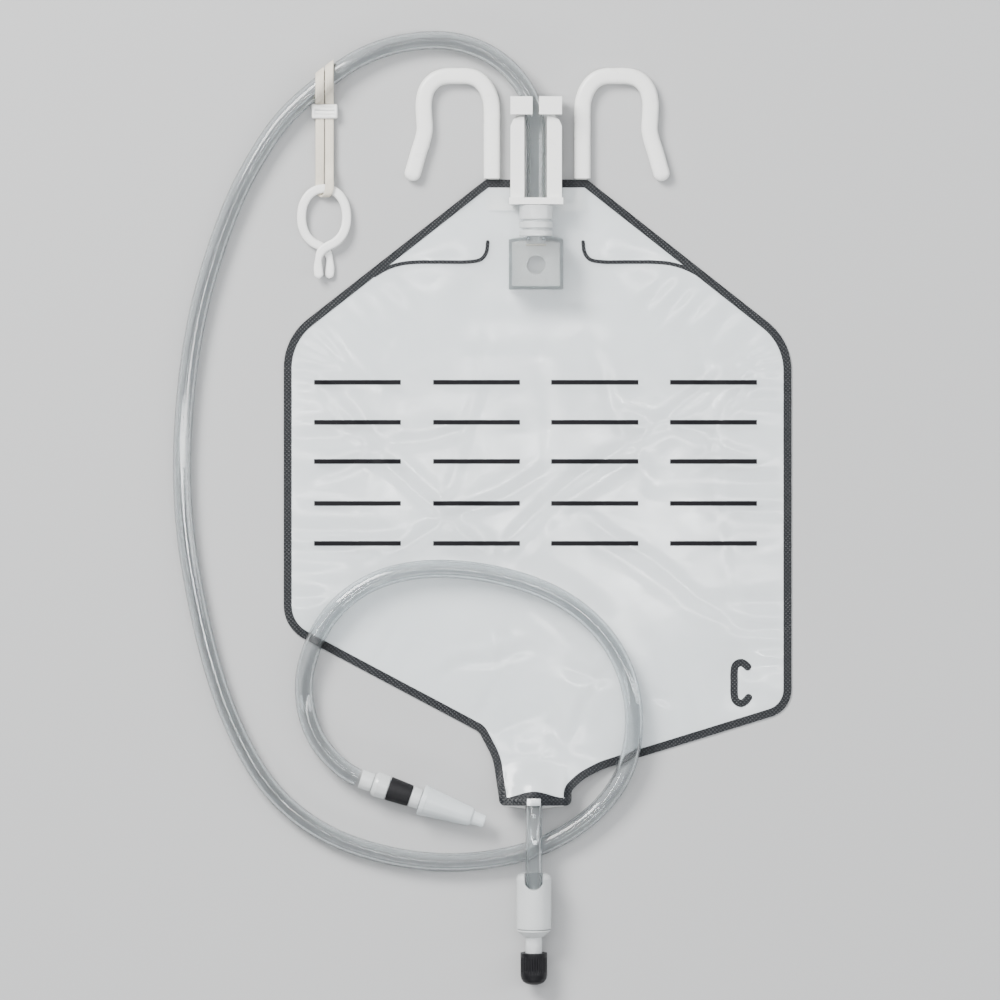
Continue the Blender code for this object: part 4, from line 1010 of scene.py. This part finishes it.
def make_strap(paint):
    hang, slope, loop_y, loop_z = (-95.7, 199.8, 5.9), 0.765, 6.38, 5.05
    right_x, left_x = -93.8, -98.1

    def leg(x):
        centre = hang[1] + slope * (x - hang[0])
        out = [(x, 184.0, 1.65, 0.0), (x, 189.4, 1.65, 0.0), (x, 191.2, 1.45, 0.4)]
        for k in range(13):
            a = math.radians(-105 + 265 * k / 12)
            out.append((x, centre + loop_y * math.cos(a), hang[2] + loop_z * math.sin(a), 1.0))
        out += [(x, centre - loop_y - 0.5, hang[2] - 0.6, 0.8), (x, 190.6, 3.75, 0.3), (x, 189.4, 3.1, 0.0), (x, 183.0, 3.05, 0.0)]
        return out

    spots = leg(right_x)
    spots += [(right_x, 172.0, 3.05, 0), (right_x, 162.5, 3.05, 0), (right_x, 159.4, 4.0, 0), (right_x, 156.4, 5.15, 0), (right_x, 151.2, 5.25, 0)]
    spots += [
        (right_x - 0.7, 149.1, 4.9, 0), (right_x - 1.5, 148.2, 4.0, 0), (right_x - 2.15, 148.0, 3.0, 0), (left_x + 1.5, 148.2, 1.9, 0),
        (left_x + 0.7, 149.0, 1.05, 0), (left_x, 151.2, 0.75, 0),
    ]
    spots += [(left_x, 156.4, 0.8, 0), (left_x, 160.0, 1.4, 0), (left_x, 165.0, 2.2, 0), (left_x, 173.0, 3.0, 0)]
    spots += leg(left_x)[::-1]
    fine = spline(spots, step=0.5)
    path, shear = fine[:, :3], fine[:, 3]
    t = tangents(path)
    sides = np.stack([np.ones(len(t)), slope * shear, np.zeros(len(t))], axis=1)
    normal = np.cross(np.tile((1.0, 0.0, 0.0), (len(t), 1)), t)
    normal /= np.linalg.norm(normal, axis=1)[:, None]
    band = sweep("elastic_strap_band", path, sides, normal, superellipse(3.9, 1.1, 5.0, 20), paint["strap"], sharp=50)
    lug = block("lug", (left_x - 1.95, right_x + 1.95), (183.4, 189.0), (1.1, 2.2), paint["strap"], bevel=0.3)
    finish_piece(combined(band, [lug]), "clip_band", "bag")

    slider = block("slider_moulding", (-101.8, -90.1), (182.9, 189.4), (0.1, 4.9), paint["white"], bevel=0.8, segments=4)
    slot = block("slot", (-100.4, -91.5), (180, 192), (0.8, 3.95), (), bevel=0.0)
    grips = [block("grip", (-100.3, -91.6), (y - 0.35, y + 0.35), (4.72, 6.0)) for y in (184.5, 186.15, 187.8)]
    combined(slider, [slot, *grips], "DIFFERENCE")
    finish_piece(slider, "band_slider", "slider")

    ring_path = [
        (-2.2, 110.9, 4.5), (-2.7, 116.6, 4.5), (-2.3, 120.6, 4.5), (-0.9, 123.6, 4.5),
        (1.7, 125.5, 4.5), (4.8, 127.1, 4.5), (7.7, 129.9, 4.2), (9.6, 134.0, 3.7),
        (10.15, 139.0, 3.2), (9.2, 144.5, 3.0), (6.6, 148.7, 3.0), (3.4, 150.8, 3.0),
        (0.0, 151.4, 3.0), (-3.4, 150.8, 3.0), (-6.6, 148.7, 3.0), (-9.2, 144.5, 3.0),
        (-10.15, 139.0, 2.8), (-9.6, 134.0, 2.4), (-7.7, 129.9, 1.9), (-4.8, 127.1, 1.6),
        (-1.7, 125.5, 1.6), (0.9, 123.6, 1.6), (2.3, 120.6, 1.6), (2.7, 116.6, 1.6),
        (2.2, 110.9, 1.6),
    ]
    ring = spline([(-96.2 + x, y, z) for x, y, z in ring_path], step=0.7)
    t = tangents(ring)
    across = np.cross(t, (0.0, 0.0, 1.0))
    across /= np.linalg.norm(across, axis=1)[:, None]
    ups = np.cross(across, t)
    along = np.concatenate([[0], np.cumsum(np.linalg.norm(np.diff(ring, axis=0), axis=1))])
    sections = []
    for s in along:
        e = min(s, along[-1] - s)
        round_end = math.sqrt(max(1e-3, 1 - (1 - min(e / 2.0, 1.0)) ** 2))
        waist = 1 - 0.24 * math.exp(-(((e - 8.8) / 2.6) ** 2))
        grip = 1 - 0.12 * (0.5 + 0.5 * math.cos(2 * math.pi * e / 1.4)) * (1.0 if 1.4 < e < 6.3 else 0.0)
        sections.append(superellipse(4.1 * waist * round_end, 2.4 * grip * (0.5 + 0.5 * round_end), 3.0, 28))
    clip = sweep("sheet_clip_moulding", ring, across, ups, sections, paint["white"], sharp=60)
    finish_piece(clip, "sheet_clip", "bag")
    return [bpy.data.objects["elastic_strap_band"], slider, clip]


def make_outlet(paint):
    port = refined("outlet_port", "outlet_port_fitment", paint["white"], bevel=0.4)
    finish_piece(port, "outlet_port", "bag")
    route = [(-124.1, 8.82), (-130.0, 10.55), (-138.0, 12.15), (-146.0, 12.68), (-152.0, 12.22), (-157.0, 11.75), (-163.6, 11.17)]
    line = smoothed(spline([(OUTLET_X, y, z) for y, z in route], step=0.9), 4)
    tube = hose("outlet_tube_stub", line, 3.7, 2.6, paint["tube"], sides=48)
    finish_piece(tube, "outlet_tube", "bag")

    body = turned("drain_valve_body", [
        (4.0, -0.5), (5.2, -0.5), (7.2, 0.3), (7.9, 1.8), (7.9, 24.6), (5.5, 24.6),
        (5.5, 9.6), (2.6, 9.6), (2.6, 7.4), (4.0, 7.4),
    ], paint["milky"], VALVE_START, VALVE_AIM, radius=0.6, sides=112)
    half, straight = 4.3, 2.2
    outline = [(-half, -2.0), (half, -2.0)] + [(half * math.cos(a), straight + half * math.sin(a)) for a in (math.pi * k / 24 for k in range(25))]
    cutter = prism("notch", outline, 0.6, 12.0)
    cutter.matrix_world = body.matrix_world @ Matrix(((-1, 0, 0, 0), (0, 0, 1, 0), (0, 1, 0, 0), (0, 0, 0, 1)))
    combined(body, [cutter], "DIFFERENCE")
    body.data.shade_smooth()
    body.data.set_sharp_from_angle(angle=math.radians(38))
    finish_piece(body, "outlet_valve_body", "bag")
    gland = turned("drain_valve_gland", [(4.15, 22.0), (5.2, 22.0), (5.2, 24.9), (7.7, 24.9), (7.7, 25.5), (4.8, 28.1), (4.15, 28.1)], paint["milky"], VALVE_START, VALVE_AIM, radius=0.25)
    finish_piece(gland, "outlet_valve_collar", "bag")
    spigot = turned("drain_spigot", [
        (0.0, 12.0), (5.0, 12.0), (5.0, 13.05), (3.9, 13.05), (3.9, 14.65), (5.0, 14.65),
        (5.0, 15.7), (3.8, 15.7), (3.8, 41.0), (2.4, 41.0), (2.4, 17.5), (0.0, 17.5),
    ], paint["milky"], VALVE_START, VALVE_AIM, radius=0.25)
    finish_piece(spigot, "outlet_spigot", "spigot")
    seal = turned("spigot_seal_ring", [(4.7 + 0.5 * math.cos(a), 13.85 + 0.5 * math.sin(a)) for a in (2 * math.pi * k / 16 for k in range(16))], paint["rubber"], VALVE_START, VALVE_AIM, radius=0.0)
    finish_piece(seal, "spigot_o_ring", "spigot")

    def knurled(r, s, a):
        if r > 5.4 and 37.0 < s < 44.5:
            return r - 0.30 * (0.5 + 0.5 * math.cos(30 * a)) ** 3 * min(1.0, (s - 37.0) / 0.7, (44.5 - s) / 0.7)
        return r

    cap_profile = [(0.0, 42.0), (4.1, 42.0), (4.1, 35.4), (6.0, 35.4), (6.0, 36.8), (6.0, 37.2)]
    cap_profile += [(6.0, 37.2 + (44.4 - 37.2) * k / 10) for k in range(1, 11)]
    cap_profile += [(6.0, 45.4), (5.7, 47.1), (4.9, 48.5), (3.6, 49.4), (1.9, 49.9), (0.0, 50.0)]
    cap = turned("drain_end_cap", cap_profile, paint["black"], VALVE_START, VALVE_AIM, radius=0.35, sides=240, shape=knurled)
    finish_piece(cap, "outlet_cap", "drain_cap")


# ======================================================================== main
make_camera()
make_lights()
PAINT = {
    "film": film_paint(),
    "weld": weld_paint(),
    "ink": ink_paint(),
    "rear": rear_paint(),
    "white": white_paint(),
    "milky": clear_paint("natural_moulding", (0.90, 0.925, 0.93), 0.16, 0.40, ((0.35, 0.43, 0.47), 60)),
    "box": clear_paint("valve_box_clear", (0.97, 0.98, 0.985), 0.04, 0.95, ((0.30, 0.40, 0.45), 75), grain=False),
    "cap": thin_paint("nozzle_cap_clear", (0.80, 0.85, 0.87), 0.55, 0.10),
    "tube": clear_paint("clear_vinyl_tube", (0.97, 0.98, 0.985), 0.03, 0.97, ((0.25, 0.34, 0.38), 190), grain=False),
    "rubber": dark_paint("dark_sleeve_rubber", (0.007, 0.007, 0.008), 0.50, 0.65, 700),
    "black": dark_paint("black_cap_plastic", (0.005, 0.005, 0.006), 0.32, 0.45, 500),
    "strap": strap_paint(),
}
tube = make_tube(PAINT)
on_tube = make_connector(PAINT)
on_tube += make_strap(PAINT)
front, rear, area = make_films(PAINT)
make_hanger(PAINT)
make_inlet(PAINT)
make_outlet(PAINT)

bm = bmesh.new()
bmesh.ops.create_grid(bm, x_segments=2, y_segments=2, size=30.0)
floor = finish_mesh("floor", bm, floor_paint())
